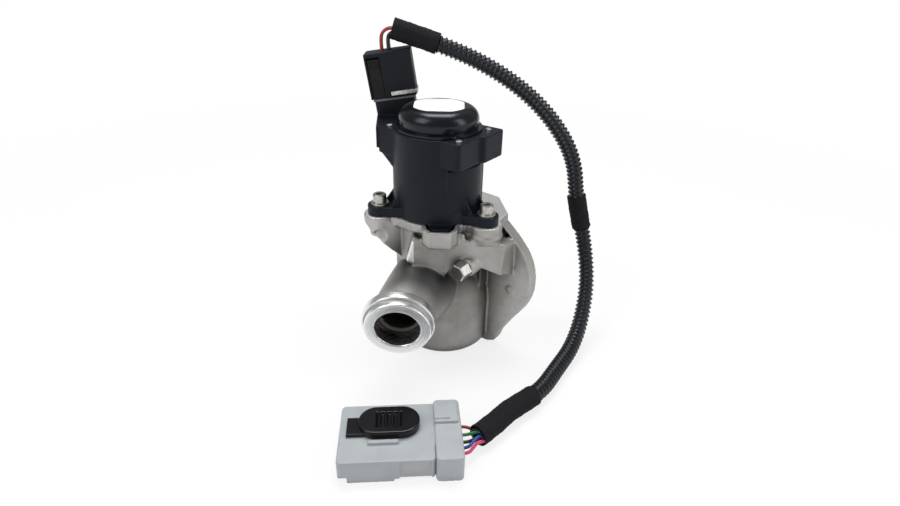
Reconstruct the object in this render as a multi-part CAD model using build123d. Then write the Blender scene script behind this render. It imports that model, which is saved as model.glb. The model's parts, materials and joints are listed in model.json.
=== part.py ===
from build123d import *
from math import acos, pi, tan
import os

# Exhaust gas valve with a solenoid actuator and its wiring loom.
# Lengths are in millimetres and angles in degrees. Z is up, the origin is on the valve stem's axis at
# the foot of the casting, and the inlet faces a viewer who looks along +Y.

# Fits
FIT_GAP = 0.05
LOOSE_GAP = 0.2
SEAT_GAP = 0.3

# Heights of the casting
SEAT_HEIGHT = 56.0
SEAT_THICKNESS = 5.0
CHAMBER_HEIGHT = 15.0
GUIDE_LENGTH = 8.0
POCKET_DEPTH = 7.0
DECK_THICKNESS = 5.0
WALL_BASE = SEAT_HEIGHT + SEAT_THICKNESS + CHAMBER_HEIGHT
POCKET_FLOOR = WALL_BASE + GUIDE_LENGTH
DECK_TOP = POCKET_FLOOR + POCKET_DEPTH
DECK_BASE = DECK_TOP - DECK_THICKNESS

# The casting's own axes are turned from X and Y by this angle
CLOCK = -35.0
CAST = Rot(0, 0, CLOCK)

# Screws that hold the actuator
BOLT_CIRCLE_RADIUS = 34.4
BOLT_ANGLES = (229.5, 359.0, 114.3)
SCREW_RADIUS = 2.45
SCREW_HEAD_RADIUS = 3.9
SCREW_HEAD_HEIGHT = 5.0
SCREW_SOCKET_RADIUS = 2.1
SCREW_SOCKET_DEPTH = 2.4
SCREW_GRIP = 9.0
THREAD_DEPTH = 10.0
WASHER_RADIUS = 5.2
WASHER_THICKNESS = 1.0

# Deck of the casting, drawn in the casting's axes
DECK_CORNERS = [(-18, -27.2), (3, -27.2), (26, -9), (39, -9), (40.5, 2), (38, 18.5), (20, 37.5),
                (-12, 40.5), (-22.5, 34), (-27, 10), (-31.5, -24)]
DECK_CORNER_RADIUS = 2.5
DECK_RIM = 1.5
LOBE_RADIUS = 9.4
BOSS_RADIUS = 6.2
BOSS_HEIGHT = 12.0
BOSS_TAPER_HEIGHT = 8.0
BOSS_TIP_RADIUS = 3.2
SKIRT_CORNERS = [(12, -30), (45, -14), (45, 5), (20, 5)]
SKIRT_DEPTH = 10.0
BEAD_WIDTH = 1.6
BEAD_PROUD = 0.7
BEAD_DROP = 6.5
NUB_RADIUS = 2.1
NUB_PLACE = (26.0, -12.5)

# Front lip with the notch that takes the actuator's tab
LIP_CENTRE = 2.2
LIP_FRONT = -35.4
LIP_HALF_WIDTHS = (11.2, 9.7, 5.8)
LIP_STEPS = (-20.0, -30.0)
LIP_HEIGHT = 10.5
LIP_WALL = 2.6
NOTCH_DEPTH = 5.0
TAB_GAP = 0.6

# Neck, bowl and pipe of the casting
NECK_RADIUS = 25.0
NECK_BASE = 50.0
BOWL_CENTRE = (5.0, 3.0)
BOWL_RADIUS = 30.0
FOOT_RADIUS = 21.0
BOWL_TOP_RADIUS = 24.0
BOWL_TOP = 55.0
BOWL_BELT = (11.0, 32.0)
BOWL_ROUND_LOW = (27.6, 3.2)
BOWL_ROUND_HIGH = (28.8, 44.0)
RING_DROP = 12.4
RING_PLACE = (-19.7, -59.0, SEAT_HEIGHT - RING_DROP)
RING_FACE = Vector(*RING_PLACE)
RING_INWARD = Vector(0.023, 0.9875, 0.156).normalized()
RING_RADIUS = 20.3
RING_LENGTH = 9.0
RING_CONE_LENGTH = 2.2
LIP_RADIUS = 18.5
LIP_LENGTH = 3.2
LIP_GROOVE = 0.8
EDGE_BREAK = 0.5
INLET_RADIUS = 12.65
INLET_LENGTH = 12.0
PIPE_RADIUS = 17.0
PIPE_MIDDLE_DROP = 9.0
PIPE_MIDDLE = (-13.0, -30.0, SEAT_HEIGHT - PIPE_MIDDLE_DROP)
PIPE_MIDDLE_RADIUS = 19.0
PIPE_ROOT_DROP = 10.0
PIPE_ROOT = (-5.0, -10.0, SEAT_HEIGHT - PIPE_ROOT_DROP)
PIPE_ROOT_RADIUS = 22.0
PIPE_HEADING = (0.5, 0.85, 0)
PASSAGE_RADIUS = 10.8
PASSAGE_DROP = 11.5
KNEE_DROP = 9.8
KNEE_PLACE = (-19.2, -42.0)
PASSAGE_KNEE = Vector(*KNEE_PLACE, SEAT_HEIGHT - KNEE_DROP)
PASSAGE_END = Vector(0.0, 0.0, SEAT_HEIGHT - PASSAGE_DROP)

# Bores round the stem
LOWER_BORE_RADIUS = 13.0
UPPER_BORE_RADIUS = 11.5
CORE_PLUG_THICKNESS = 5.0
SEAT_BORE_RADIUS = 10.0
GUIDE_RADIUS = 5.0
STEM_RADIUS = 3.0
STEM_GAP = 0.03
SEAL_RADIUS = 7.0
SEAL_THICKNESS = 2.5
SPIGOT_RADIUS = 20.0
SPIGOT_GAP = 0.1

# Outlet duct, flange and port, drawn in the casting's axes
DUCT_PLACE = (20.5, 6.0)
DUCT_RADIUS = 6.0
DUCT_WALL = 2.6
DUCT_TOP = 64.5
DUCT_FOOT = 50.0
CROSS_DUCT_RADIUS = 5.0
CROSS_DUCT_HEIGHT = 66.5
FLANGE_FRONT = 10.0
FLANGE_BACK = 18.0
PAD_THICKNESS = 2.0
FLANGE_LOW_EDGE = [(0, 1.5), (34, 2.5), (39, 5), (41.5, 12), (47.5, 22), (53.5, 31)]
FLANGE_BULGE = (60.2, 57.0)
FLANGE_HIGH_EDGE = [(54, 73), (47.8, 79.8), (39.5, 87), (0, 87), (0, 1.5)]
RECESS_CORNERS = [(36.7, 76.7), (42, 83), (50.5, 74.5)]
RECESS_DEPTH = 5.0
RECESS_CORNER_RADIUS = 1.0
MARK_PLACE = (48.0, 46.6)
MARK_RADIUS = 2.7
MARK_HEIGHT = 0.6
BACK_CUT_TOP = 79.5
PORT_PLACE = (31.0, 48.0)
PORT_RADIUS = 12.0
PORT_DEPTH = 7.0
PORT_BOLT_RADIUS = 21.5
PORT_BOLT_COUNT = 3
PORT_HOLE_RADIUS = 2.5
PORT_HOLE_DEPTH = 8.0
PAD_LOBE_RADIUS = 6.5

# Ledge over the outlet duct, drawn in X and Z
LEDGE_CORNERS = [(-17, 69), (4.9, 59.6), (10, 67.5), (22.5, 67.4), (38.5, 60.6), (38, 65.5), (-13, 85)]
LEDGE_FRONT = -28.0
LEDGE_BACK = -2.0
LEDGE_ROUND = 0.8

# Hex plug screw in the casting's front
PLUG_SCREW_RISE = 11.0
PLUG_SCREW_PLACE = (16.9, -29.9)
PLUG_SCREW_ROOT = Vector(*PLUG_SCREW_PLACE, SEAT_HEIGHT + PLUG_SCREW_RISE)
PLUG_SCREW_HEADING = Vector(-0.67, -0.73, -0.12).normalized()
PLUG_SCREW_ACROSS_FLATS = 9.0
PLUG_SCREW_HEAD = 7.0
PLUG_SCREW_SHANK_RADIUS = 3.0
PLUG_SCREW_SHANK = 6.0
PLUG_BOSS_RADIUS = 5.6
PLUG_BOSS_LENGTH = 13.4
PLUG_SPOTFACE_RADIUS = 5.8

# Valve head and its lift
HEAD_RADIUS = 11.5
HEAD_THICKNESS = 5.0
HEAD_EDGE = 1.5
HEAD_SINK = 4.0
STEM_RISE = 42.0
STEM_TOP = DECK_TOP + STEM_RISE

# Actuator housing
EAR_THICKNESS = 5.5
EAR_RADIUS = 7.0
EAR_ROOT_WIDTH = 24.0
EAR_RIB_HEIGHT = 7.5
EAR_RIB_THICKNESS = 1.8
EAR_RIB_OFFSET = 5.4
BARREL_RADIUS = 26.0
BARREL_HEIGHT = 34.0
COLLAR_HEIGHT = 14.5
COLLAR_BASE = DECK_TOP + BARREL_HEIGHT
COLLAR_TOP = COLLAR_BASE + COLLAR_HEIGHT
COLLAR_LENGTH = 56.0
COLLAR_WIDTH = 41.0
COLLAR_CORNER_RADIUS = 2.5
COLLAR_STEP = 2.4
PANEL_EDGE = 5.5
PANEL_DEPTH = 0.6
PANEL_HEIGHT = 31.5
PANEL_TOP = DECK_TOP + PANEL_HEIGHT
UNDERCUT_HEIGHT = 2.0
UNDERCUT_DEPTH = 1.5
GUSSET_HEIGHT = 10.0
GUSSET_THICKNESS = 3.0
MAIN_BORE_RADIUS = 23.0
MAIN_BORE_LIFT = 15.0
MAIN_BORE_FLOOR = DECK_TOP + MAIN_BORE_LIFT
SPRING_BORE_RADIUS = 9.5
SPIGOT_GROOVE_HEIGHT = 2.0
SPIGOT_GROOVE_DEPTH = 1.4
SPIGOT_GROOVE_LIFT = 2.4
TAB_FRONT = LIP_FRONT + LIP_WALL + TAB_GAP
TAB_HALF_WIDTHS = (7.2, 4.3)
TAB_THICKNESS = 4.5
ARM_CORNERS = [(-34.9, -2), (-10, 8), (-8, 30), (-12, 34.5), (-37, 34.5), (-37, 21.5)]
ARM_LIFT = 2.5
ARM_BASE = COLLAR_BASE + ARM_LIFT

# Magnet inside the actuator
CAN_WALL = 2.2
CAN_FLOOR = 2.0
CAN_HEIGHT = 28.0
CAN_RADIUS = MAIN_BORE_RADIUS - LOOSE_GAP
POLE_RADIUS = 8.0
POLE_HEIGHT = 11.0
POLE_BORE_RADIUS = 3.4
COVER_THICKNESS = 2.0
ARMATURE_RADIUS = 7.9
ARMATURE_LENGTH = 13.0
ARMATURE_LIFT = 18.0
ARMATURE_BASE = MAIN_BORE_FLOOR + ARMATURE_LIFT
ARMATURE_GAP = 0.3
SPOOL_BORE_RADIUS = 8.6
SPOOL_TUBE_RADIUS = 10.0
SPOOL_FLANGE = 1.5
SPOOL_RADIUS = 20.2
WINDING_RADIUS = 19.5
WINDING_GAP = 0.1
SPRING_SEAT_RADIUS = 8.0
SPRING_SEAT_THICKNESS = 2.0
SPRING_SEAT_ROOM = 1.0
SPRING_SEAT_BASE = MAIN_BORE_FLOOR - SPRING_SEAT_ROOM - SPRING_SEAT_THICKNESS
SPRING_RADIUS = 6.8
SPRING_WIRE = 1.4
SPRING_TURNS = 5
SENSOR_DISC_RADIUS = 20.0
SENSOR_DISC_THICKNESS = 2.2
SENSOR_TOWER_RADIUS = 12.0
SENSOR_TOWER_RISE = 9.5
SENSOR_TOWER_TOP = COLLAR_TOP + SENSOR_TOWER_RISE
SENSOR_ROOM = 2.0
SENSOR_POCKET_TOP = ARMATURE_BASE + ARMATURE_LENGTH + SENSOR_ROOM
SENSOR_BORE_RADIUS = 2.2
SENSOR_ROOF = 2.0
SENSOR_BORE_TOP = SENSOR_TOWER_TOP - SENSOR_ROOF
PLUNGER_RADIUS = 1.5
PLUNGER_LENGTH = 9.0

# Cap on the actuator
CAP_HEIGHT = 12.5
CAP_TOP = COLLAR_TOP + CAP_HEIGHT
CAP_RADIUS = 22.4
CAP_RIM_RADIUS = 24.3
CAP_RIM_HEIGHT = 1.5
CAP_WAIST = 0.4
CAP_SHOULDER_HEIGHT = 5.5
CAP_FLAT_RADIUS = 15.5
CAP_WALL = 2.0
CAP_SKIRT_WALL = 2.4
CAP_BULGE = 1.4
CAP_INNER_BULGE = 1.2
RIVET_PLACE = (23.5, 14.3)
RIVET_HEAD_RADIUS = 1.9
RIVET_HEAD_HEIGHT = 0.8
RIVET_SHANK_RADIUS = 1.2
RIVET_SHANK = 8.0

# Socket on the actuator's arm and the black plug of the loom, which lean to the left
SOCKET_LEAN = -9.0
SOCKET_RISE = 9.5
SOCKET_TOP = (-26.6, 28.0, COLLAR_TOP + SOCKET_RISE)
SOCKET = Pos(*SOCKET_TOP) * Rot(0, SOCKET_LEAN, 0)
SOCKET_BLOCK = (23.6, 11.6)
SOCKET_BLOCK_HEIGHT = 23.0
SHROUD_LENGTH = 20.4
SHROUD_WIDTH = 8.4
SHROUD_WALL = 1.3
SHROUD_HEIGHT = 11.0
SHROUD_CORNER_RADIUS = 1.6
PIN_COUNT = 5
PIN_PITCH = 3.2
PIN_RADIUS = 0.5
PIN_LENGTH = 8.0
SEAL_FRAME_HEIGHT = 1.2
SEAL_FRAME_WIDTH = 2.0
SHELL_LENGTH = 27.0
SHELL_WIDTH = 13.0
SHELL_HEIGHT = 25.9
SHELL_CORNER_RADIUS = 1.2
SHELL_CAVITY_DEPTH = 12.5
LATCH_PLACE = -8.4
LATCH_WIDTH = 7.0
LATCH_LENGTH = 22.0
LATCH_THICKNESS = 1.4
LATCH_SLOT_DEPTH = 3.6
LATCH_SIDE_GAP = 0.3
LATCH_SET_BACK = 0.4
LATCH_HEAD_ROOM = 1.0
LATCH_PIVOT_HEIGHT = 12.5
LATCH_PIN_RADIUS = 1.0
LATCH_PIN_LENGTH = 1.0
LATCH_RIB_COUNT = 4
LATCH_RIB_PITCH = 1.5
LATCH_RIB = 0.7
CLIP_LEFT = -1.0
CLIP_THICKNESS = 0.8
CLIP_HEIGHT = 2.2
CLIP_LIFT = 1.4
CLIP_LEG = 9.0

# Loom: a conduit with three tape wraps and five wires
CONDUIT_RADIUS = 5.0
TAPE_RADIUS = 6.25
WIRE_RADIUS = 0.87
CONDUIT_MOUTH_RADIUS = 4.4
CONDUIT_MOUTH_DEPTH = 2.0
# The last point lies past the mouth, which is cut parallel to the connector's back
CONDUIT_POINTS = [
    (-27.5, 28, 187.2), (5.5, 28, 178), (38.5, 28, 162.5), (64, 27, 142.5), (83, 27, 116),
    (88, 27, 86.5), (96.5, 23, 57.5), (99, 11.5, 35), (94, -6.5, 17), (85.5, -24.5, 8),
    (73.5, -42.5, 5.6), (61.5, -63, 6.2), (42, -79, 6.6), (32, -91.5, 6.6), (20.3, -102.2, 6.6)]
TAPES = {"tape_valve_end": (0.0, 27.0), "tape_middle": (160.8, 183.2), "tape_plug_end": (318.9, 369.9)}
# Routes of the wires from the black plug to the conduit, after their start in the plug
VALVE_END_OUTER = [(-35.3, 183.8), (-32.2, 189.3), (-26.4, 189.0)]
VALVE_END_INNER = [(-30.9, 182.6), (-27.7, 185.5)]
# Each wire: its route at the valve, its place along and across the black plug, its place across the
# pale connector, and the place across and height of its end in the conduit's mouth
WIRES = {
    "wire_red": (VALVE_END_OUTER, -3.2, -1.4, 8.5, 4.6, 6.6),
    "wire_green": (VALVE_END_OUTER, -3.2, 1.4, 2.5, 2.4, 8.6),
    "wire_black": (VALVE_END_INNER, 1.0, -2.4, -2.5, 1.8, 4.5),
    "wire_blue": (VALVE_END_INNER, 1.0, 0.0, -6.5, 0.3, 8.0),
    "wire_pink": (VALVE_END_INNER, 1.0, 2.4, -10.0, -1.6, 6.1),
}

# Pale connector at the loom's far end, drawn along its own length from mouth to wires
CONNECTOR_PLACE = (-14.4, -103.0)
CONNECTOR_TURN = 5.0
CONNECTOR = Pos(*CONNECTOR_PLACE, 0) * Rot(0, 0, CONNECTOR_TURN)
CONNECTOR_LENGTH = 61.5
CONNECTOR_WIDTH = 38.5
CONNECTOR_TOP = 13.5
CONNECTOR_LIFT = 1.5
CONNECTOR_CORNER_RADIUS = 2.5
CONNECTOR_EDGE_RADIUS = 0.8
KEEL_WIDTH = 24.0
KEEL_SETBACK = 5.0
MOUTH_WIDTH = 33.0
MOUTH_HEIGHT = 9.2
MOUTH_FLOOR = 2.9
MOUTH_DEPTH = 18.5
SEAL_DEPTH = 2.0
SEAL_WALL = 2.4
TERMINAL_COUNT = 5
TERMINAL_PITCH = 5.5
TERMINAL_SIZE = (7.0, 2.2, 0.8)
COVER_LENGTH = 13.75
COVER_WIDTH = 41.0
COVER_TOP = 14.8
COVER_BLOCK = (12.0, 13.5, 1.5)
COVER_BLOCK_PLACE = (23.2, 9.6)
COVER_SLIT = (8.0, 0.8, 0.9)
WIRE_HEIGHT = 6.5
WIRE_SOCKET_DEPTH = 4.0
WIRE_SOCKET_GAP = 0.3
WIRE_STRAIGHT = 1.8
LOOM_SETBACK = 7.65
LOOM_ENTRY = 1.2
LOCK_LENGTH = 31.0
LOCK_WIDTH = 18.6
LOCK_HEIGHT = 4.4
LOCK_PLACE = (-5.7, 4.2)
LOCK_KEY = (12.6, 6.0, 1.8)
LOCK_TRAVEL = 6.0
LOCK_TAB = (10.0, 11.6, 2.0)
LOCK_TAB_PLACE = (-22.0, 2.6)
LOCK_RECESS = (13.0, 10.0, 1.3)
LOCK_RIB_COUNT = 4
LOCK_RIB = 1.2
GUIDE_RAIL = (15.0, 2.2, 1.8)
GUIDE_RAIL_PLACE = (-8.5, -7.6)


def upright(outline, low, high):
    """Extrude an outline drawn in X and Y between two heights."""
    return extrude(Pos(0, 0, low) * outline, amount=high - low, dir=(0, 0, 1))


def crosswise(outline, front, back):
    """Extrude an outline drawn in X and Z between two depths."""
    return extrude(Plane.XZ.offset(-back) * outline, amount=back - front, dir=(0, -1, 0))


def turned(*points):
    """Revolve a profile of radius and height pairs about Z."""
    return revolve(Plane.XZ * Polygon(*points), axis=Axis.Z)


def bounded(*pieces):
    """Closed face from lines and arcs that meet end to end."""
    return make_face([edge for piece in pieces for edge in piece.edges()])


def ring(outer, inner, low, high):
    """Upright ring, or a plain disc where the inner radius is nought."""
    outline = Circle(outer) - Circle(inner) if inner > 0 else Circle(outer)
    return upright(outline, low, high)


def rod_between(start, end, radius):
    """Round rod from one point to another."""
    run = end - start
    return Plane(origin=start, z_dir=run) * extrude(Circle(radius), amount=run.length)


def block(size, place, low):
    """Box of length, width and height whose base is centred on a place."""
    return upright(Pos(*place) * Rectangle(size[0], size[1]), low, low + size[2])


def bolt_places():
    """Axes of the three actuator screws."""
    return [CAST * Rot(0, 0, angle) * Pos(BOLT_CIRCLE_RADIUS, 0, 0) for angle in BOLT_ANGLES]


def arc_radii(points):
    """Largest arc that the two runs at each point allow."""
    radii = []
    for before, here, after in zip(points, points[1:], points[2:]):
        inward = Vector(*here) - Vector(*before)
        outward = Vector(*after) - Vector(*here)
        turn = acos(inward.dot(outward) / (inward.length * outward.length))
        radii.append(0.45 * min(inward.length, outward.length) / tan(turn / 2))
    return radii


def cord_path(name, points):
    """Route of straight runs joined by tangent arcs, with its radii printed."""
    radii = arc_radii(points)
    print(name, "arc radii", [round(radius, 1) for radius in radii])
    return FilletPolyline(*points, radius=radii)


def cord(path, outline):
    """Sweep a section along a route."""
    return sweep(Plane(origin=path @ 0, z_dir=path % 0) * outline, path=path)


# Casting

def deck_outline():
    """Top plate of the casting in the casting's axes."""
    plate = fillet(Polygon(*DECK_CORNERS).vertices(), DECK_CORNER_RADIUS)
    plate += Circle(BARREL_RADIUS + DECK_RIM)
    for angle in BOLT_ANGLES:
        plate += Rot(0, 0, angle) * Pos(BOLT_CIRCLE_RADIUS, 0) * Circle(LOBE_RADIUS)
    return plate


def deck():
    """Plate with its deeper skirt, the skirt's bead and the screw bosses."""
    plate = deck_outline()
    skirt_zone = Polygon(*SKIRT_CORNERS)
    skirt_outline = plate & skirt_zone
    bead_outline = offset(plate, BEAD_PROUD) & skirt_zone
    bead_base = DECK_TOP - BEAD_DROP - BEAD_WIDTH / 2
    body = CAST * upright(plate, DECK_BASE, DECK_TOP)
    body += CAST * upright(skirt_outline, DECK_TOP - SKIRT_DEPTH, DECK_BASE)
    body += CAST * upright(bead_outline, bead_base, bead_base + BEAD_WIDTH)
    boss_base = DECK_TOP - THREAD_DEPTH - BOSS_HEIGHT + DECK_THICKNESS
    for place in bolt_places():
        body += place * turned(
            (0, boss_base - BOSS_TAPER_HEIGHT), (BOSS_TIP_RADIUS, boss_base - BOSS_TAPER_HEIGHT),
            (BOSS_RADIUS, boss_base), (BOSS_RADIUS, DECK_BASE), (0, DECK_BASE))
    return body


def lip_outline():
    """Plan of the front lip."""
    wide, shoulder, nose = LIP_HALF_WIDTHS
    root, bend = LIP_STEPS
    return Pos(LIP_CENTRE, 0) * Polygon(
        (-wide, root), (-shoulder, bend), (-nose, LIP_FRONT),
        (nose, LIP_FRONT), (shoulder, bend), (wide, root))


def lip():
    """Front lip, rounded below, before its notch is cut."""
    body = upright(lip_outline(), DECK_TOP - LIP_HEIGHT, DECK_TOP)
    return fillet(body.edges().group_by(Axis.Z)[0], LIP_WALL - EDGE_BREAK)


def bowl():
    """Round lower body, turned about its own axis."""
    belt_low, belt_high = BOWL_BELT
    profile = bounded(
        Line((0, 0), (FOOT_RADIUS, 0)),
        ThreePointArc((FOOT_RADIUS, 0), BOWL_ROUND_LOW, (BOWL_RADIUS, belt_low)),
        Line((BOWL_RADIUS, belt_low), (BOWL_RADIUS, belt_high)),
        ThreePointArc((BOWL_RADIUS, belt_high), BOWL_ROUND_HIGH, (BOWL_TOP_RADIUS, BOWL_TOP)),
        Polyline((BOWL_TOP_RADIUS, BOWL_TOP), (0, BOWL_TOP), (0, 0)))
    return Pos(*BOWL_CENTRE, 0) * revolve(Plane.XZ * profile, axis=Axis.Z)


def pipe():
    """Inlet pipe that swells from the ring into the body."""
    ring_back = RING_FACE + RING_INWARD * RING_LENGTH
    sections = [
        Plane(origin=ring_back, x_dir=(1, 0, 0), z_dir=RING_INWARD) * Circle(PIPE_RADIUS),
        Plane(origin=PIPE_MIDDLE, x_dir=(1, 0, 0), z_dir=PIPE_HEADING) * Circle(PIPE_MIDDLE_RADIUS),
        Plane(origin=PIPE_ROOT, x_dir=(1, 0, 0), z_dir=PIPE_HEADING) * Circle(PIPE_ROOT_RADIUS)]
    return loft(sections)


def inlet_ring():
    """Machined ring with its lip and groove, turned about the inlet's axis."""
    groove_start = LIP_LENGTH
    shoulder = groove_start + LIP_GROOVE
    collar = turned(
        (0, 0), (LIP_RADIUS - EDGE_BREAK, 0), (LIP_RADIUS, EDGE_BREAK), (LIP_RADIUS, groove_start),
        (LIP_RADIUS - LIP_GROOVE, groove_start), (LIP_RADIUS - LIP_GROOVE, shoulder),
        (RING_RADIUS - EDGE_BREAK, shoulder), (RING_RADIUS, shoulder + EDGE_BREAK),
        (RING_RADIUS, RING_LENGTH), (PIPE_RADIUS, RING_LENGTH + RING_CONE_LENGTH),
        (0, RING_LENGTH + RING_CONE_LENGTH))
    return Plane(origin=RING_FACE, x_dir=(1, 0, 0), z_dir=RING_INWARD) * collar


def ledge():
    """Sloping roof of the outlet duct with its pillar."""
    roof = crosswise(Polygon(*LEDGE_CORNERS), LEDGE_FRONT, LEDGE_BACK)
    return fillet(roof.edges().filter_by(Axis.Y), LEDGE_ROUND)


def flange():
    """Side wall that carries the outlet pad, with its recess and raised mark."""
    outline = bounded(
        Polyline(*FLANGE_LOW_EDGE),
        ThreePointArc(FLANGE_LOW_EDGE[-1], FLANGE_BULGE, FLANGE_HIGH_EDGE[0]),
        Polyline(*FLANGE_HIGH_EDGE))
    recess = fillet(Polygon(*RECESS_CORNERS).vertices(), RECESS_CORNER_RADIUS)
    wall = crosswise(outline, FLANGE_FRONT, FLANGE_BACK)
    wall -= crosswise(recess, FLANGE_FRONT, FLANGE_FRONT + RECESS_DEPTH)
    wall += crosswise(Pos(*MARK_PLACE) * Circle(MARK_RADIUS), FLANGE_FRONT - MARK_HEIGHT, FLANGE_FRONT)
    duct = Pos(*DUCT_PLACE) * Circle(DUCT_RADIUS + DUCT_WALL)
    return wall + upright(duct, DUCT_FOOT - DUCT_RADIUS, DUCT_TOP + DUCT_WALL)


def port_bolts():
    """Places of the outlet's bolts in the flange's plane."""
    return PolarLocations(PORT_BOLT_RADIUS, PORT_BOLT_COUNT)


def outlet_pad():
    """Raised machined face round the port."""
    lobes = [Pos(*PORT_PLACE) * place * Circle(PAD_LOBE_RADIUS) for place in port_bolts()]
    face = make_hull([edge for lobe in lobes for edge in lobe.edges()])
    return crosswise(face, FLANGE_BACK, FLANGE_BACK + PAD_THICKNESS)


def outlet_cuts():
    """Port, its blind bolt holes and the duct from the upper chamber, one cut each."""
    face = FLANGE_BACK + PAD_THICKNESS
    port_depth = face - PORT_DEPTH
    cuts = [crosswise(Pos(*PORT_PLACE) * Circle(PORT_RADIUS), port_depth, face)]
    for place in port_bolts():
        hole = Pos(*PORT_PLACE) * place * Circle(PORT_HOLE_RADIUS)
        cuts.append(crosswise(hole, face - PORT_HOLE_DEPTH, face))
    duct_x, duct_y = DUCT_PLACE
    head = Vector(duct_x, duct_y, DUCT_TOP + DUCT_RADIUS)
    foot = Vector(duct_x, duct_y, DUCT_FOOT)
    mouth = Vector((duct_x + PORT_PLACE[0]) / 2, port_depth + DUCT_RADIUS / 2, PORT_PLACE[1])
    cross_start = Vector(0, 0, CROSS_DUCT_HEIGHT)
    cross_end = Vector(duct_x, duct_y, CROSS_DUCT_HEIGHT)
    cuts.append(rod_between(foot - Vector(0, 0, DUCT_RADIUS / 2), head, DUCT_RADIUS))
    cuts.append(rod_between(foot, mouth, DUCT_RADIUS - FIT_GAP))
    cuts.append(rod_between(cross_start, cross_end, CROSS_DUCT_RADIUS))
    return cuts


def stem_bores():
    """Everything bored along the stem's axis, from the foot to the actuator's pocket."""
    seat_top = SEAT_HEIGHT + SEAT_THICKNESS
    bores = ring(LOWER_BORE_RADIUS, 0, 0, seat_top)
    bores += ring(UPPER_BORE_RADIUS, 0, seat_top, WALL_BASE)
    bores += ring(GUIDE_RADIUS, 0, WALL_BASE, POCKET_FLOOR)
    return bores + ring(SPIGOT_RADIUS + SPIGOT_GAP, 0, POCKET_FLOOR, DECK_TOP)


def inlet_cuts():
    """Machined inlet bore and the cast passage behind it, one cut each."""
    bore_end = RING_FACE + RING_INWARD * INLET_LENGTH
    return [
        rod_between(RING_FACE, bore_end, INLET_RADIUS),
        rod_between(bore_end, PASSAGE_KNEE + RING_INWARD * FIT_GAP, PASSAGE_RADIUS),
        Pos(*PASSAGE_KNEE) * Sphere(PASSAGE_RADIUS + FIT_GAP),
        rod_between(PASSAGE_KNEE, PASSAGE_END, PASSAGE_RADIUS)]


def nub():
    """Small round boss at the end of the skirt's bead."""
    centre = CAST * Pos(*NUB_PLACE, DECK_TOP - BEAD_DROP)
    return centre * Sphere(NUB_RADIUS + EDGE_BREAK)


def valve_housing():
    """The whole casting."""
    body = ring(NECK_RADIUS, 0, NECK_BASE, DECK_BASE) + bowl() + pipe()
    body += deck()
    body -= CAST * Pos(0, FLANGE_BACK, 0) * Box(
        4 * BOWL_RADIUS, 2 * BOWL_RADIUS, BACK_CUT_TOP,
        align=(Align.CENTER, Align.MIN, Align.MIN))
    body += inlet_ring() + lip() + ledge() + nub()
    body += CAST * flange()
    body += CAST * outlet_pad()
    plug_seat = PLUG_SCREW_ROOT - PLUG_SCREW_HEADING * PLUG_BOSS_LENGTH
    body += rod_between(plug_seat, PLUG_SCREW_ROOT, PLUG_BOSS_RADIUS)
    spotface_end = PLUG_SCREW_ROOT + PLUG_SCREW_HEADING * PLUG_SCREW_HEAD
    body -= rod_between(PLUG_SCREW_ROOT, spotface_end, PLUG_SPOTFACE_RADIUS)
    body -= stem_bores()
    for cut in inlet_cuts():
        body -= cut
    for cut in outlet_cuts():
        body -= CAST * cut
    notch = offset(lip_outline(), -LIP_WALL, kind=Kind.INTERSECTION)
    body -= upright(notch, DECK_TOP - NOTCH_DEPTH, DECK_TOP)
    shank_end = PLUG_SCREW_ROOT - PLUG_SCREW_HEADING * PLUG_SCREW_SHANK
    body -= rod_between(shank_end, PLUG_SCREW_ROOT, PLUG_SCREW_SHANK_RADIUS)
    for place in bolt_places():
        body -= place * ring(SCREW_RADIUS + FIT_GAP, 0, DECK_TOP - THREAD_DEPTH, DECK_TOP)
    return body


def housing_plug_screw():
    """Hex head and shank that close the drilled passage."""
    tip = PLUG_SCREW_ROOT - PLUG_SCREW_HEADING * (PLUG_SCREW_SHANK - SEAT_GAP)
    head_outline = RegularPolygon(PLUG_SCREW_ACROSS_FLATS / 2, 6, major_radius=False)
    head = extrude(head_outline, amount=PLUG_SCREW_HEAD, dir=(0, 0, 1))
    head = chamfer(head.edges().group_by(Axis.Z)[-1], EDGE_BREAK)
    head = Plane(origin=PLUG_SCREW_ROOT, z_dir=PLUG_SCREW_HEADING) * head
    return head + rod_between(tip, PLUG_SCREW_ROOT, PLUG_SCREW_SHANK_RADIUS - FIT_GAP)


# Valve

def valve_parts():
    """Pieces pressed into the casting and the poppet valve that works in them."""
    seat_top = SEAT_HEIGHT + SEAT_THICKNESS
    head_top = SEAT_HEIGHT - FIT_GAP
    head_base = head_top - HEAD_THICKNESS
    poppet = turned(
        (0, head_base), (HEAD_RADIUS - 2 * HEAD_EDGE, head_base), (HEAD_RADIUS, head_base + HEAD_EDGE),
        (HEAD_RADIUS, head_top - HEAD_EDGE / 2), (HEAD_RADIUS - HEAD_EDGE / 2, head_top), (0, head_top))
    stem_base = head_top - HEAD_SINK
    poppet -= ring(STEM_RADIUS, 0, stem_base, head_top)
    return {
        "core_plug": ring(LOWER_BORE_RADIUS, 0, 0, CORE_PLUG_THICKNESS),
        "valve_seat": ring(LOWER_BORE_RADIUS, SEAT_BORE_RADIUS, SEAT_HEIGHT, seat_top),
        "stem_guide_bush": ring(GUIDE_RADIUS, STEM_RADIUS + STEM_GAP, WALL_BASE, POCKET_FLOOR),
        "stem_seal": ring(SEAL_RADIUS, STEM_RADIUS + STEM_GAP, WALL_BASE - SEAL_THICKNESS, WALL_BASE),
        "poppet_head": poppet,
        "valve_stem": ring(STEM_RADIUS, 0, stem_base, STEM_TOP),
    }


# Actuator

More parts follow.
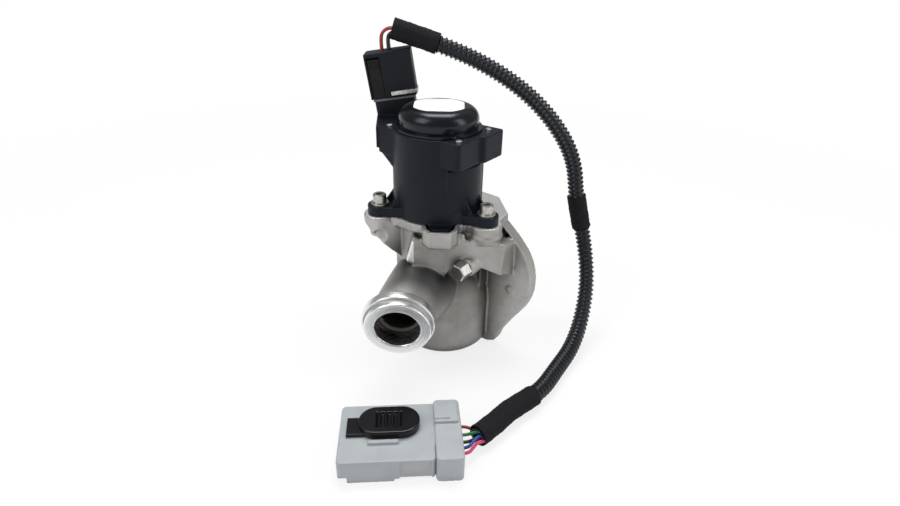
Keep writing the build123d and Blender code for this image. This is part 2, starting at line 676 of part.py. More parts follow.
def ear(angle):
    """One mounting ear with its two ribs."""
    root = BARREL_RADIUS - 4 * EAR_RIB_THICKNESS
    outline = Pos(BOLT_CIRCLE_RADIUS, 0) * Circle(EAR_RADIUS)
    outline += Polygon((root, -EAR_ROOT_WIDTH / 2), (BOLT_CIRCLE_RADIUS, -EAR_RADIUS),
                       (BOLT_CIRCLE_RADIUS, EAR_RADIUS), (root, EAR_ROOT_WIDTH / 2))
    ear_top = DECK_TOP + EAR_THICKNESS
    body = upright(outline, DECK_TOP, ear_top)
    rib_root = BARREL_RADIUS - EAR_RIB_THICKNESS
    rib_tip = BOLT_CIRCLE_RADIUS - WASHER_RADIUS + EDGE_BREAK
    rib = Polygon((rib_root, ear_top), (rib_tip, ear_top), (rib_root, ear_top + EAR_RIB_HEIGHT))
    for side in (-1, 1):
        middle = side * (EAR_RIB_OFFSET + EAR_RIB_THICKNESS / 2)
        body += crosswise(rib, middle - EAR_RIB_THICKNESS / 2, middle + EAR_RIB_THICKNESS / 2)
    return CAST * Rot(0, 0, angle) * body


def collar():
    """Squared collar at the top of the barrel, with its step and corner gusset."""
    half_length = COLLAR_LENGTH / 2
    half_width = COLLAR_WIDTH / 2
    outline = fillet(Rectangle(COLLAR_LENGTH, COLLAR_WIDTH).vertices(), COLLAR_CORNER_RADIUS)
    outline += Circle(BARREL_RADIUS)
    step = Rectangle(half_length, half_width, align=Align.MIN)
    outline += Pos(COLLAR_STEP, 0) * fillet(step.vertices().sort_by(Axis.X)[-2:], COLLAR_CORNER_RADIUS)
    body = upright(outline, COLLAR_BASE, COLLAR_TOP)
    gusset = Polygon((-half_length + COLLAR_CORNER_RADIUS, COLLAR_BASE), (-half_length / 2, COLLAR_BASE),
                     (-half_length / 2, COLLAR_BASE - GUSSET_HEIGHT))
    body += crosswise(gusset, -half_width + EDGE_BREAK, -half_width + EDGE_BREAK + GUSSET_THICKNESS)
    return CAST * body


def front_tab():
    """Tab that drops into the notch of the casting's lip."""
    wide, narrow = TAB_HALF_WIDTHS
    root = LIP_STEPS[0] - SEAT_THICKNESS + TAB_GAP
    outline = Pos(LIP_CENTRE, 0) * Polygon(
        (-wide, root), (-narrow, TAB_FRONT), (narrow, TAB_FRONT), (wide, root))
    top = DECK_TOP + EDGE_BREAK
    return upright(outline, top - TAB_THICKNESS, top)


def socket_body():
    """Block and hollow shroud that the black plug slides over."""
    length, width = SOCKET_BLOCK
    base = upright(RectangleRounded(length, width, SHROUD_CORNER_RADIUS), -SOCKET_BLOCK_HEIGHT, 0)
    shroud = RectangleRounded(SHROUD_LENGTH, SHROUD_WIDTH, SHROUD_CORNER_RADIUS)
    shroud -= Rectangle(SHROUD_LENGTH - 2 * SHROUD_WALL, SHROUD_WIDTH - 2 * SHROUD_WALL)
    return SOCKET * (base + upright(shroud, 0, SHROUD_HEIGHT))


def actuator_housing():
    """Black moulding: barrel, collar, ears, front tab, arm and socket."""
    panel_zone = Pos(PANEL_EDGE, 0) * Rectangle(BARREL_RADIUS, BARREL_RADIUS + DECK_RIM,
                                                align=(Align.MIN, Align.MAX))
    rim = Circle(BARREL_RADIUS + DECK_RIM)
    body = ring(BARREL_RADIUS, 0, DECK_TOP, COLLAR_BASE)
    panel = (rim - Circle(BARREL_RADIUS - PANEL_DEPTH)) & panel_zone
    body -= upright(panel, DECK_TOP + EAR_THICKNESS, PANEL_TOP)
    undercut = (rim - Circle(BARREL_RADIUS - UNDERCUT_DEPTH)) & panel_zone
    body -= upright(undercut, PANEL_TOP, PANEL_TOP + UNDERCUT_HEIGHT)
    body += collar() + front_tab()
    for angle in BOLT_ANGLES:
        body += ear(angle)
    body += upright(Polygon(*ARM_CORNERS), ARM_BASE, COLLAR_TOP)
    body += socket_body()
    spigot_base = POCKET_FLOOR + SEAT_GAP
    groove_base = POCKET_FLOOR + SPIGOT_GROOVE_LIFT
    body += ring(SPIGOT_RADIUS, 0, spigot_base, DECK_TOP)
    body -= ring(SPIGOT_RADIUS + SPIGOT_GAP, SPIGOT_RADIUS - SPIGOT_GROOVE_DEPTH,
                 groove_base, groove_base + SPIGOT_GROOVE_HEIGHT)
    body -= ring(SPRING_BORE_RADIUS, 0, spigot_base, MAIN_BORE_FLOOR)
    body -= ring(MAIN_BORE_RADIUS, 0, MAIN_BORE_FLOOR, COLLAR_TOP)
    for place in bolt_places():
        body -= place * ring(SCREW_RADIUS + LOOSE_GAP, 0, DECK_TOP, DECK_TOP + EAR_THICKNESS)
    for place in rivet_places():
        body -= place * ring(RIVET_SHANK_RADIUS + FIT_GAP, 0, COLLAR_TOP - RIVET_SHANK, COLLAR_TOP)
    return body


def rivet_places():
    """Axes of the four rivets in the collar's corners."""
    across, along = RIVET_PLACE
    return [CAST * Pos(x * across, y * along, 0) for x in (-1, 1) for y in (-1, 1)]


def actuator_o_ring():
    """Seal in the spigot's groove."""
    groove_middle = POCKET_FLOOR + SPIGOT_GROOVE_LIFT + SPIGOT_GROOVE_HEIGHT / 2
    section_radius = SPIGOT_GROOVE_DEPTH / 2
    return Pos(0, 0, groove_middle) * Torus(SPIGOT_RADIUS - section_radius, section_radius)


def magnet_parts():
    """Coil, iron circuit and moving armature."""
    can_base = MAIN_BORE_FLOOR
    can_top = can_base + CAN_HEIGHT
    spool_base = can_base + CAN_FLOOR + LOOSE_GAP
    spool_top = can_top - LOOSE_GAP
    can = ring(CAN_RADIUS, CAN_RADIUS - CAN_WALL, can_base, can_top)
    can += ring(CAN_RADIUS, POLE_RADIUS, can_base, can_base + CAN_FLOOR)
    spool = ring(SPOOL_TUBE_RADIUS, SPOOL_BORE_RADIUS, spool_base, spool_top)
    spool += ring(SPOOL_RADIUS, SPOOL_BORE_RADIUS, spool_base, spool_base + SPOOL_FLANGE)
    spool += ring(SPOOL_RADIUS, SPOOL_BORE_RADIUS, spool_top - SPOOL_FLANGE, spool_top)
    winding_base = spool_base + SPOOL_FLANGE + WINDING_GAP
    winding_top = spool_top - SPOOL_FLANGE - WINDING_GAP
    armature = ring(ARMATURE_RADIUS, 0, ARMATURE_BASE, ARMATURE_BASE + ARMATURE_LENGTH)
    armature -= ring(STEM_RADIUS, 0, ARMATURE_BASE, STEM_TOP)
    armature = chamfer(armature.edges().group_by(Axis.Z)[-1], EDGE_BREAK)
    return {
        "yoke_can": can,
        "pole_piece": ring(POLE_RADIUS, POLE_BORE_RADIUS, can_base, can_base + POLE_HEIGHT),
        "yoke_cover": ring(CAN_RADIUS, ARMATURE_RADIUS + ARMATURE_GAP, can_top, can_top + COVER_THICKNESS),
        "coil_bobbin": spool,
        "coil_winding": ring(WINDING_RADIUS, SPOOL_TUBE_RADIUS + WINDING_GAP, winding_base, winding_top),
        "armature": armature,
    }


def spring_parts():
    """Return spring on the casting's wall and the seat that it lifts."""
    low = POCKET_FLOOR + SEAT_GAP + SPRING_WIRE / 2
    high = SPRING_SEAT_BASE - SEAT_GAP - SPRING_WIRE / 2
    coil = Pos(0, 0, low) * Helix((high - low) / SPRING_TURNS, high - low, SPRING_RADIUS)
    wire = Plane(origin=coil @ 0, z_dir=coil % 0) * Circle(SPRING_WIRE / 2)
    seat_top = SPRING_SEAT_BASE + SPRING_SEAT_THICKNESS
    return {
        "return_spring": sweep(wire, path=coil, is_frenet=True),
        "spring_seat": ring(SPRING_SEAT_RADIUS, STEM_RADIUS, SPRING_SEAT_BASE, seat_top),
    }


def sensor_parts():
    """Position sensor above the coil and the plunger that rides on the armature."""
    disc_base = MAIN_BORE_FLOOR + CAN_HEIGHT + COVER_THICKNESS
    disc_top = disc_base + SENSOR_DISC_THICKNESS
    armature_top = ARMATURE_BASE + ARMATURE_LENGTH
    body = ring(SENSOR_DISC_RADIUS, 0, disc_base, disc_top)
    body += ring(SENSOR_TOWER_RADIUS, 0, disc_top, SENSOR_TOWER_TOP)
    body -= ring(ARMATURE_RADIUS + FIT_GAP + ARMATURE_GAP, 0, disc_base, SENSOR_POCKET_TOP)
    body -= ring(SENSOR_BORE_RADIUS, 0, SENSOR_POCKET_TOP, SENSOR_BORE_TOP)
    return {
        "sensor_housing": body,
        "sensor_plunger": ring(PLUNGER_RADIUS, 0, armature_top, armature_top + PLUNGER_LENGTH),
    }


def actuator_cap():
    """Domed cap with its rim, waist and the skirt that presses on the coil's cover."""
    skirt_base = MAIN_BORE_FLOOR + CAN_HEIGHT + COVER_THICKNESS
    skirt_radius = MAIN_BORE_RADIUS - FIT_GAP
    inner = skirt_radius - CAP_SKIRT_WALL
    rim_top = COLLAR_TOP + CAP_RIM_HEIGHT
    waist_radius = CAP_RADIUS - CAP_WAIST
    shoulder = COLLAR_TOP + CAP_SHOULDER_HEIGHT
    roof = CAP_TOP - CAP_WALL
    inner_flat = CAP_FLAT_RADIUS - CAP_WALL / 2
    outer_middle = (
        (CAP_RADIUS + CAP_FLAT_RADIUS) / 2 + CAP_BULGE, (shoulder + CAP_TOP) / 2 + CAP_BULGE)
    inner_middle = (
        (inner + inner_flat) / 2 + CAP_INNER_BULGE, (shoulder + roof) / 2 + CAP_INNER_BULGE)
    profile = bounded(
        Polyline((0, roof), (0, CAP_TOP), (CAP_FLAT_RADIUS, CAP_TOP)),
        ThreePointArc((CAP_FLAT_RADIUS, CAP_TOP), outer_middle, (CAP_RADIUS, shoulder)),
        Polyline((CAP_RADIUS, shoulder), (waist_radius, rim_top + CAP_WAIST), (waist_radius, rim_top),
                 (CAP_RIM_RADIUS, rim_top), (CAP_RIM_RADIUS, COLLAR_TOP), (skirt_radius, COLLAR_TOP),
                 (skirt_radius, skirt_base), (inner, skirt_base), (inner, shoulder)),
        ThreePointArc((inner, shoulder), inner_middle, (inner_flat, roof)),
        Line((inner_flat, roof), (0, roof)))
    return revolve(Plane.XZ * profile, axis=Axis.Z)


def fixings():
    """Screws, washers and rivets, one node each."""
    pieces = {}
    washer_base = DECK_TOP + EAR_THICKNESS
    head_base = washer_base + WASHER_THICKNESS
    head_top = head_base + SCREW_HEAD_HEIGHT
    screw = ring(SCREW_HEAD_RADIUS, 0, head_base, head_top)
    screw = chamfer(screw.edges().group_by(Axis.Z)[-1], EDGE_BREAK)
    screw -= upright(RegularPolygon(SCREW_SOCKET_RADIUS, 6), head_top - SCREW_SOCKET_DEPTH, head_top)
    screw += ring(SCREW_RADIUS, 0, DECK_TOP - SCREW_GRIP, head_base)
    washer = ring(WASHER_RADIUS, SCREW_RADIUS + FIT_GAP, washer_base, head_base)
    for number, place in enumerate(bolt_places(), 1):
        pieces[f"actuator_screw_{number}"] = place * screw
        pieces[f"actuator_washer_{number}"] = place * washer
    rivet_dome = COLLAR_TOP + RIVET_HEAD_HEIGHT
    rivet = turned(
        (0, COLLAR_TOP), (RIVET_HEAD_RADIUS, COLLAR_TOP), (RIVET_HEAD_RADIUS, rivet_dome - EDGE_BREAK),
        (RIVET_HEAD_RADIUS - EDGE_BREAK, rivet_dome), (0, rivet_dome))
    rivet += ring(RIVET_SHANK_RADIUS, 0, COLLAR_TOP - RIVET_SHANK + SEAT_GAP, COLLAR_TOP)
    for number, place in enumerate(rivet_places(), 1):
        pieces[f"cap_rivet_{number}"] = place * rivet
    return pieces


# Black plug of the loom

def latch_slot():
    """Room for the latch lever in the plug's front, with its pivot holes."""
    half_gap = LATCH_WIDTH / 2 + LATCH_SIDE_GAP
    front = -SHELL_WIDTH / 2
    slot = Pos(LATCH_PLACE, front) * Rectangle(2 * half_gap, 2 * LATCH_SLOT_DEPTH)
    room = upright(slot, SEAL_FRAME_HEIGHT, LATCH_PIVOT_HEIGHT + LATCH_LENGTH / 2 + LATCH_HEAD_ROOM)
    pivot_reach = LATCH_WIDTH / 2 + LATCH_PIN_LENGTH + LATCH_SIDE_GAP
    holes = Pos(LATCH_PLACE, latch_middle(), LATCH_PIVOT_HEIGHT) * Rot(0, 90, 0) * Cylinder(
        LATCH_PIN_RADIUS + FIT_GAP, 2 * pivot_reach)
    return room + holes


def latch_middle():
    """Depth of the latch lever's pivot in the plug's frame."""
    return -SHELL_WIDTH / 2 + LATCH_PIN_RADIUS + LATCH_SET_BACK


def plug_parts():
    """Shell, insert, seal, latch and clip in the socket's frame, face to face with the socket."""
    shell_top = SEAL_FRAME_HEIGHT + SHELL_HEIGHT
    cavity_top = SEAL_FRAME_HEIGHT + SHELL_CAVITY_DEPTH
    cavity = Rectangle(SHROUD_LENGTH + 2 * LOOSE_GAP, SHROUD_WIDTH + 2 * LOOSE_GAP)
    shell = upright(Rectangle(SHELL_LENGTH, SHELL_WIDTH), SEAL_FRAME_HEIGHT, shell_top)
    shell = fillet(shell.edges().filter_by(Axis.Z), SHELL_CORNER_RADIUS)
    shell = fillet(shell.edges().group_by(Axis.Z)[-1], SHELL_CORNER_RADIUS)
    shell -= upright(cavity, SEAL_FRAME_HEIGHT, cavity_top)
    shell -= latch_slot()
    for _, along, depth, _, _, _ in WIRES.values():
        socket = Pos(along, depth) * Circle(WIRE_RADIUS + WIRE_SOCKET_GAP)
        shell -= upright(socket, shell_top - WIRE_SOCKET_DEPTH, shell_top)
    inset = SHROUD_WALL + SEAT_GAP
    inside = Rectangle(SHROUD_LENGTH - 2 * inset, SHROUD_WIDTH - 2 * inset)
    insert = upright(inside, SEAL_FRAME_HEIGHT, cavity_top)
    for place in pin_places():
        insert -= upright(place * Circle(PIN_RADIUS + FIT_GAP), SEAL_FRAME_HEIGHT, PIN_LENGTH + SEAT_GAP)
    frame = Rectangle(SHROUD_LENGTH + 2 * SEAL_FRAME_WIDTH, SHROUD_WIDTH + 2 * SEAL_FRAME_WIDTH - LOOSE_GAP)
    return {
        "loom_plug_shell": SOCKET * shell,
        "loom_plug_insert": SOCKET * insert,
        "loom_plug_seal": SOCKET * upright(frame - cavity, 0, SEAL_FRAME_HEIGHT),
        "latch_lever": SOCKET * latch_lever(),
        "clip_bar": SOCKET * clip_bar(),
        "socket_pins": socket_pins(),
    }


def pin_places():
    """Places of the terminals across the socket."""
    return GridLocations(PIN_PITCH, 0, PIN_COUNT, 1)


def socket_pins():
    """Terminals that stand in the socket, with their roots in its block."""
    pins = [upright(place * Circle(PIN_RADIUS), 0, PIN_LENGTH) for place in pin_places()]
    return SOCKET * Compound(children=pins)


def latch_lever():
    """Rocking lever with finger ribs at its top and pivots at its sides."""
    foot = LATCH_PIVOT_HEIGHT - LATCH_LENGTH / 2
    head = LATCH_PIVOT_HEIGHT + LATCH_LENGTH / 2
    middle = latch_middle()
    front = middle - LATCH_THICKNESS / 2
    blade = Pos(LATCH_PLACE, middle) * Rectangle(LATCH_WIDTH, LATCH_THICKNESS)
    lever = upright(blade, foot, head)
    lever += Pos(LATCH_PLACE, middle, LATCH_PIVOT_HEIGHT) * Rot(0, 90, 0) * Cylinder(
        LATCH_PIN_RADIUS, LATCH_WIDTH + 2 * LATCH_PIN_LENGTH)
    for index in range(LATCH_RIB_COUNT):
        height = head - LATCH_RIB_PITCH * (index + 0.5)
        lever += Pos(LATCH_PLACE, front, height) * Box(LATCH_WIDTH - LATCH_RIB, LATCH_RIB, LATCH_RIB)
    return lever


def clip_bar():
    """Spring clip that runs along the plug's front and round its right side."""
    side = SHELL_LENGTH / 2
    front = -SHELL_WIDTH / 2
    low = SEAL_FRAME_HEIGHT + CLIP_LIFT
    bar = Polygon((CLIP_LEFT, front - CLIP_THICKNESS), (side + CLIP_THICKNESS, front - CLIP_THICKNESS),
                  (side + CLIP_THICKNESS, front + CLIP_LEG), (side, front + CLIP_LEG), (side, front),
                  (CLIP_LEFT, front))
    return upright(bar, low, low + CLIP_HEIGHT)


# Pale connector

def rounded_block(size, place, low):
    """Block with rounded upright edges and a softened top."""
    body = block(size, place, low)
    body = fillet(body.edges().filter_by(Axis.Z), CONNECTOR_CORNER_RADIUS)
    return fillet(body.edges().group_by(Axis.Z)[-1], CONNECTOR_EDGE_RADIUS)


def connector_shell():
    """Front body with its open mouth, keel, rail and the track of the lock."""
    front = -CONNECTOR_LENGTH / 2
    back = CONNECTOR_LENGTH / 2 - COVER_LENGTH
    middle = (front + back) / 2
    length = back - front
    height = CONNECTOR_TOP - CONNECTOR_LIFT
    body = rounded_block((length, CONNECTOR_WIDTH, height), (middle, 0), CONNECTOR_LIFT)
    keel_length = length - KEEL_SETBACK
    body += block((keel_length, KEEL_WIDTH, CONNECTOR_LIFT), (back - keel_length / 2, 0), 0)
    body += block(GUIDE_RAIL, GUIDE_RAIL_PLACE, CONNECTOR_TOP)
    body -= block((MOUTH_DEPTH, MOUTH_WIDTH, MOUTH_HEIGHT), (front + MOUTH_DEPTH / 2, 0), MOUTH_FLOOR)
    key_length, key_width, key_depth = LOCK_KEY
    track_length = key_length + LOCK_TRAVEL + 2 * LOOSE_GAP
    track = (track_length, key_width + 2 * FIT_GAP, key_depth + LOOSE_GAP)
    track_middle = key_middle() + LOCK_TRAVEL / 2
    body -= block(track, (track_middle, LOCK_PLACE[1]), CONNECTOR_TOP - key_depth - LOOSE_GAP)
    return body


def key_middle():
    """Place of the lock's key along the connector, just behind the mouth."""
    return -CONNECTOR_LENGTH / 2 + MOUTH_DEPTH + LOCK_KEY[0] / 2 + CONNECTOR_LIFT


def connector_lock():
    """Sliding oval lock with its finger ribs, front tab and the key in the track."""
    base = CONNECTOR_TOP + FIT_GAP
    top = base + LOCK_HEIGHT
    key_length, key_width, key_depth = LOCK_KEY
    pad = upright(Pos(*LOCK_PLACE) * SlotOverall(LOCK_LENGTH, LOCK_WIDTH), base, top)
    pad = fillet(pad.edges().group_by(Axis.Z)[-1], CONNECTOR_EDGE_RADIUS)
    pad += block(LOCK_TAB, LOCK_TAB_PLACE, base)
    pad += block((key_length, key_width, key_depth), (key_middle(), LOCK_PLACE[1]), base - key_depth)
    recess_length, recess_width, recess_depth = LOCK_RECESS
    pad -= block(LOCK_RECESS, LOCK_PLACE, top - recess_depth)
    pitch = recess_length / LOCK_RIB_COUNT
    for index in range(LOCK_RIB_COUNT):
        along = LOCK_PLACE[0] - recess_length / 2 + pitch * (index + 0.5)
        pad += block((LOCK_RIB, recess_width, recess_depth), (along, LOCK_PLACE[1]), top - recess_depth)
    return pad


def connector_cover():
    """Rear collar where the wires enter, with its raised block and slit."""
    back = CONNECTOR_LENGTH / 2
    middle = back - COVER_LENGTH / 2
    body = rounded_block((COVER_LENGTH, COVER_WIDTH, COVER_TOP), (middle, 0), 0)
    body += block(COVER_BLOCK, COVER_BLOCK_PLACE, COVER_TOP)
    slit_length, slit_width, slit_depth = COVER_SLIT
    slit_top = COVER_TOP + COVER_BLOCK[2]
    slit_place = (COVER_BLOCK_PLACE[0] - slit_length / 4, COVER_BLOCK_PLACE[1] - COVER_BLOCK[1] / 3)
    body -= block((slit_length, slit_width, slit_depth), slit_place, slit_top - slit_depth)
    for _, _, _, across, _, _ in WIRES.values():
        inner = Vector(back - WIRE_SOCKET_DEPTH, across, WIRE_HEIGHT)
        outer = Vector(back, across, WIRE_HEIGHT)
        body -= rod_between(inner, outer, WIRE_RADIUS + WIRE_SOCKET_GAP)
    return body


def connector_parts():
    """All pieces of the pale connector, set where it lies."""
    mouth_back = -CONNECTOR_LENGTH / 2 + MOUTH_DEPTH
    mouth_middle = MOUTH_FLOOR + MOUTH_HEIGHT / 2
    seal = Rectangle(MOUTH_WIDTH - 2 * FIT_GAP, MOUTH_HEIGHT - 2 * FIT_GAP)
    seal -= Rectangle(MOUTH_WIDTH - 2 * SEAL_WALL, MOUTH_HEIGHT - 2 * SEAL_WALL)
    seal_ring = extrude(Plane.YZ.offset(mouth_back - SEAL_DEPTH) * seal, amount=SEAL_DEPTH, dir=(1, 0, 0))
    length, width, thickness = TERMINAL_SIZE
    blades = [
        Pos(mouth_back - length / 2, place.position.X, 0) * Box(length, width, thickness)
        for place in GridLocations(TERMINAL_PITCH, 0, TERMINAL_COUNT, 1)]
    lift = Pos(0, 0, mouth_middle)
    return {
        "connector_shell": CONNECTOR * connector_shell(),
        "connector_cover": CONNECTOR * connector_cover(),
        "connector_lock": CONNECTOR * connector_lock(),
        "connector_seal": CONNECTOR * lift * seal_ring,
        "connector_terminals": CONNECTOR * lift * Compound(children=blades),
    }


# Loom

def connector_point(along, across, height):
    """Point given in the connector's own frame."""
    return (CONNECTOR * Pos(along, across, height)).position


def wire_stub_paths(name, route, along, depth, across, mouth_across, mouth_height):
    """Routes of one wire between the black plug and the conduit, and at the connector."""
    shell_top = SEAL_FRAME_HEIGHT + SHELL_HEIGHT
    root = SOCKET * Pos(along, depth, shell_top - WIRE_SOCKET_DEPTH + SEAT_GAP)
    valve_points = [root.position] + [(x, SOCKET_TOP[1] + depth, z) for x, z in route]
    back = CONNECTOR_LENGTH / 2
    connector_points = [
        connector_point(back - WIRE_SOCKET_DEPTH + SEAT_GAP, across, WIRE_HEIGHT),
        connector_point(back + WIRE_STRAIGHT, across, WIRE_HEIGHT),
        connector_point(back + LOOM_SETBACK + LOOM_ENTRY, mouth_across, mouth_height)]
    valve_end = cord_path(name + " at the valve", valve_points)
    return valve_end, cord_path(name + " at the connector", connector_points)


def loom_parts():
    """Conduit, tape wraps and the visible ends of the wires."""
    path = cord_path("conduit", CONDUIT_POINTS)
    length = path.length
    tube = cord(path, Circle(CONDUIT_RADIUS))
    section = pi * CONDUIT_RADIUS ** 2
    print("conduit volume", round(tube.volume), "section times length", round(section * length))
    mouth = path @ 1
    mouth_zone = CONNECTOR * Pos(CONNECTOR_LENGTH / 2 + LOOM_SETBACK, 0, 0) * Box(
        4 * TAPE_RADIUS, COVER_WIDTH, 4 * TAPE_RADIUS, align=(Align.MAX, Align.CENTER, Align.CENTER))
    tube -= mouth_zone
    tube -= rod_between(path @ 0, path @ 0 + (path % 0) * CONDUIT_MOUTH_DEPTH, CONDUIT_MOUTH_RADIUS)
    tube -= rod_between(mouth, mouth - (path % 1) * (2 * TAPE_RADIUS), CONDUIT_MOUTH_RADIUS)
    pieces = {"conduit": tube}
    for name, (start, end) in TAPES.items():
        wrap = path.trim(start / length, min(end / length, 1.0))
        pieces[name] = cord(wrap, Circle(TAPE_RADIUS) - Circle(CONDUIT_RADIUS)) - mouth_zone
    for name, values in WIRES.items():
        stubs = [cord(route, Circle(WIRE_RADIUS)) for route in wire_stub_paths(name, *values)]
        pieces[name] = Compound(children=stubs)
    return pieces


def all_parts():
    """Every node of the object by name."""
    parts = {
        "valve_housing": valve_housing(),
        "housing_plug_screw": housing_plug_screw(),
        "actuator_housing": actuator_housing(),
        "actuator_o_ring": actuator_o_ring(),
        "actuator_cap": actuator_cap(),
    }
    for group in (valve_parts, magnet_parts, spring_parts, sensor_parts, fixings, plug_parts,
                  connector_parts, loom_parts):
        parts.update(group())
    return parts


os.makedirs("parts", exist_ok=True)
for node, solid in all_parts().items():
    export_step(solid, f"parts/{node}.step")
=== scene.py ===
import bmesh
import bpy
import json
from math import cos, pi, radians, sin
from mathutils import Euler, Matrix, Vector

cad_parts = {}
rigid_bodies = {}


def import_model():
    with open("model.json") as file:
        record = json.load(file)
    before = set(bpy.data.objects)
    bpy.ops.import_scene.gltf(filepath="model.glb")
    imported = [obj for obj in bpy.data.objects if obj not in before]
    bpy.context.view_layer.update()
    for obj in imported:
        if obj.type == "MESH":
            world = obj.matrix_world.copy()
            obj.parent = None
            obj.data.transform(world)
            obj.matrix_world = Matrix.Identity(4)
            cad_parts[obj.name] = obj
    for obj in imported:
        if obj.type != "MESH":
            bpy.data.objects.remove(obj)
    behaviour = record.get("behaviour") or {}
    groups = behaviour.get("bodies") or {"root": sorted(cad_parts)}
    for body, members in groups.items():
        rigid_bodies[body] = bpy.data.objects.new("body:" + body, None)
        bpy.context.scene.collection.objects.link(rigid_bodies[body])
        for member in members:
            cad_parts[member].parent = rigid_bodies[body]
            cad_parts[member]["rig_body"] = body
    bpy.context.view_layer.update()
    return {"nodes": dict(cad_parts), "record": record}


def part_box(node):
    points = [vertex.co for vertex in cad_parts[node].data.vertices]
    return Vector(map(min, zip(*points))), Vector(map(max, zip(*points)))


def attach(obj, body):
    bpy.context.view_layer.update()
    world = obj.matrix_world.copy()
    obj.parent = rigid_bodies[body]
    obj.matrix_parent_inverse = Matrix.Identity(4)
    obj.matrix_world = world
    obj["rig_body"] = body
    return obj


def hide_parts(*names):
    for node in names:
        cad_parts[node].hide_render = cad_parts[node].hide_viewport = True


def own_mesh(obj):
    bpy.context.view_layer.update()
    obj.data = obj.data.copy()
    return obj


# Exhaust gas valve with its loom, dressed for a studio picture. Metres, in the frame of the solids.
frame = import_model()
nodes = frame["nodes"]

MM = 0.001
BODY = "valve_body"

# Loom: the route's points, the conduit and the tape wraps, as the solids have them
CONDUIT_POINTS = [
    (-27.5, 28, 187.2), (5.5, 28, 178), (38.5, 28, 162.5), (64, 27, 142.5), (83, 27, 116),
    (88, 27, 86.5), (96.5, 23, 57.5), (99, 11.5, 35), (94, -6.5, 17), (85.5, -24.5, 8),
    (73.5, -42.5, 5.6), (61.5, -63, 6.2), (42, -79, 6.6), (32, -91.5, 6.6), (20.3, -102.2, 6.6)]
CONDUIT_RADIUS = 5.0 * MM
CONDUIT_BORE = 3.6 * MM
CONDUIT_SEGMENTS = 40
RIB_PITCH = 2.9 * MM
RIB_DEPTH = 0.95 * MM
STATIONS_PER_RIB = 8
TAPE_RADIUS = 6.0 * MM
TAPE_PITCH = 8.5 * MM
TAPE_STEP = 0.22 * MM
TAPE_CREASE = 0.10 * MM
TAPE_ROOM = 0.05 * MM
TAPE_SEGMENTS = 48
TAPES = {"tape_valve_end": (0.0, 27.0), "tape_middle": (160.8, 183.2), "tape_plug_end": (318.0, 369.0)}

# Camera at the photograph's place
CAMERA_PLACE = (0.008, -0.315, 0.230)
CAMERA_PITCH = radians(28.3)
CAMERA_ROLL = radians(1.5)
CAMERA_LENS = 23.04


# Shader maths on sockets

class Value:
    """A socket, or a number, that takes part in sums."""

    def __init__(self, look, socket):
        self.look = look
        self.socket = socket

    def _sum(self, operation, *others):
        return self.look.math(operation, self, *others)

    def __add__(self, other):
        return self._sum("ADD", other)

    __radd__ = __add__

    def __sub__(self, other):
        return self._sum("SUBTRACT", other)

    def __rsub__(self, other):
        return self.look.math("SUBTRACT", other, self)

    def __mul__(self, other):
        return self._sum("MULTIPLY", other)

    __rmul__ = __mul__

    def __truediv__(self, other):
        return self._sum("DIVIDE", other)

    def __pow__(self, other):
        return self._sum("POWER", other)

    def __gt__(self, other):
        return self._sum("GREATER_THAN", other)

    def __lt__(self, other):
        return self._sum("LESS_THAN", other)

    def clamp(self):
        return self.look.node("ShaderNodeClamp", Value=self)["Result"]

    def step(self, low, high):
        """Smooth step from nought at low to one at high."""
        return self.look.node(
            "ShaderNodeMapRange", dict(interpolation_type="SMOOTHSTEP"), Value=self,
            **{"From Min": low, "From Max": high})["Result"]


class Outputs:
    """Outputs of a node by name, as values."""

    def __init__(self, look, node):
        self.look = look
        self.node = node

    def __getitem__(self, name):
        """The output of that name or number."""
        return Value(self.look, self.node.outputs[name])


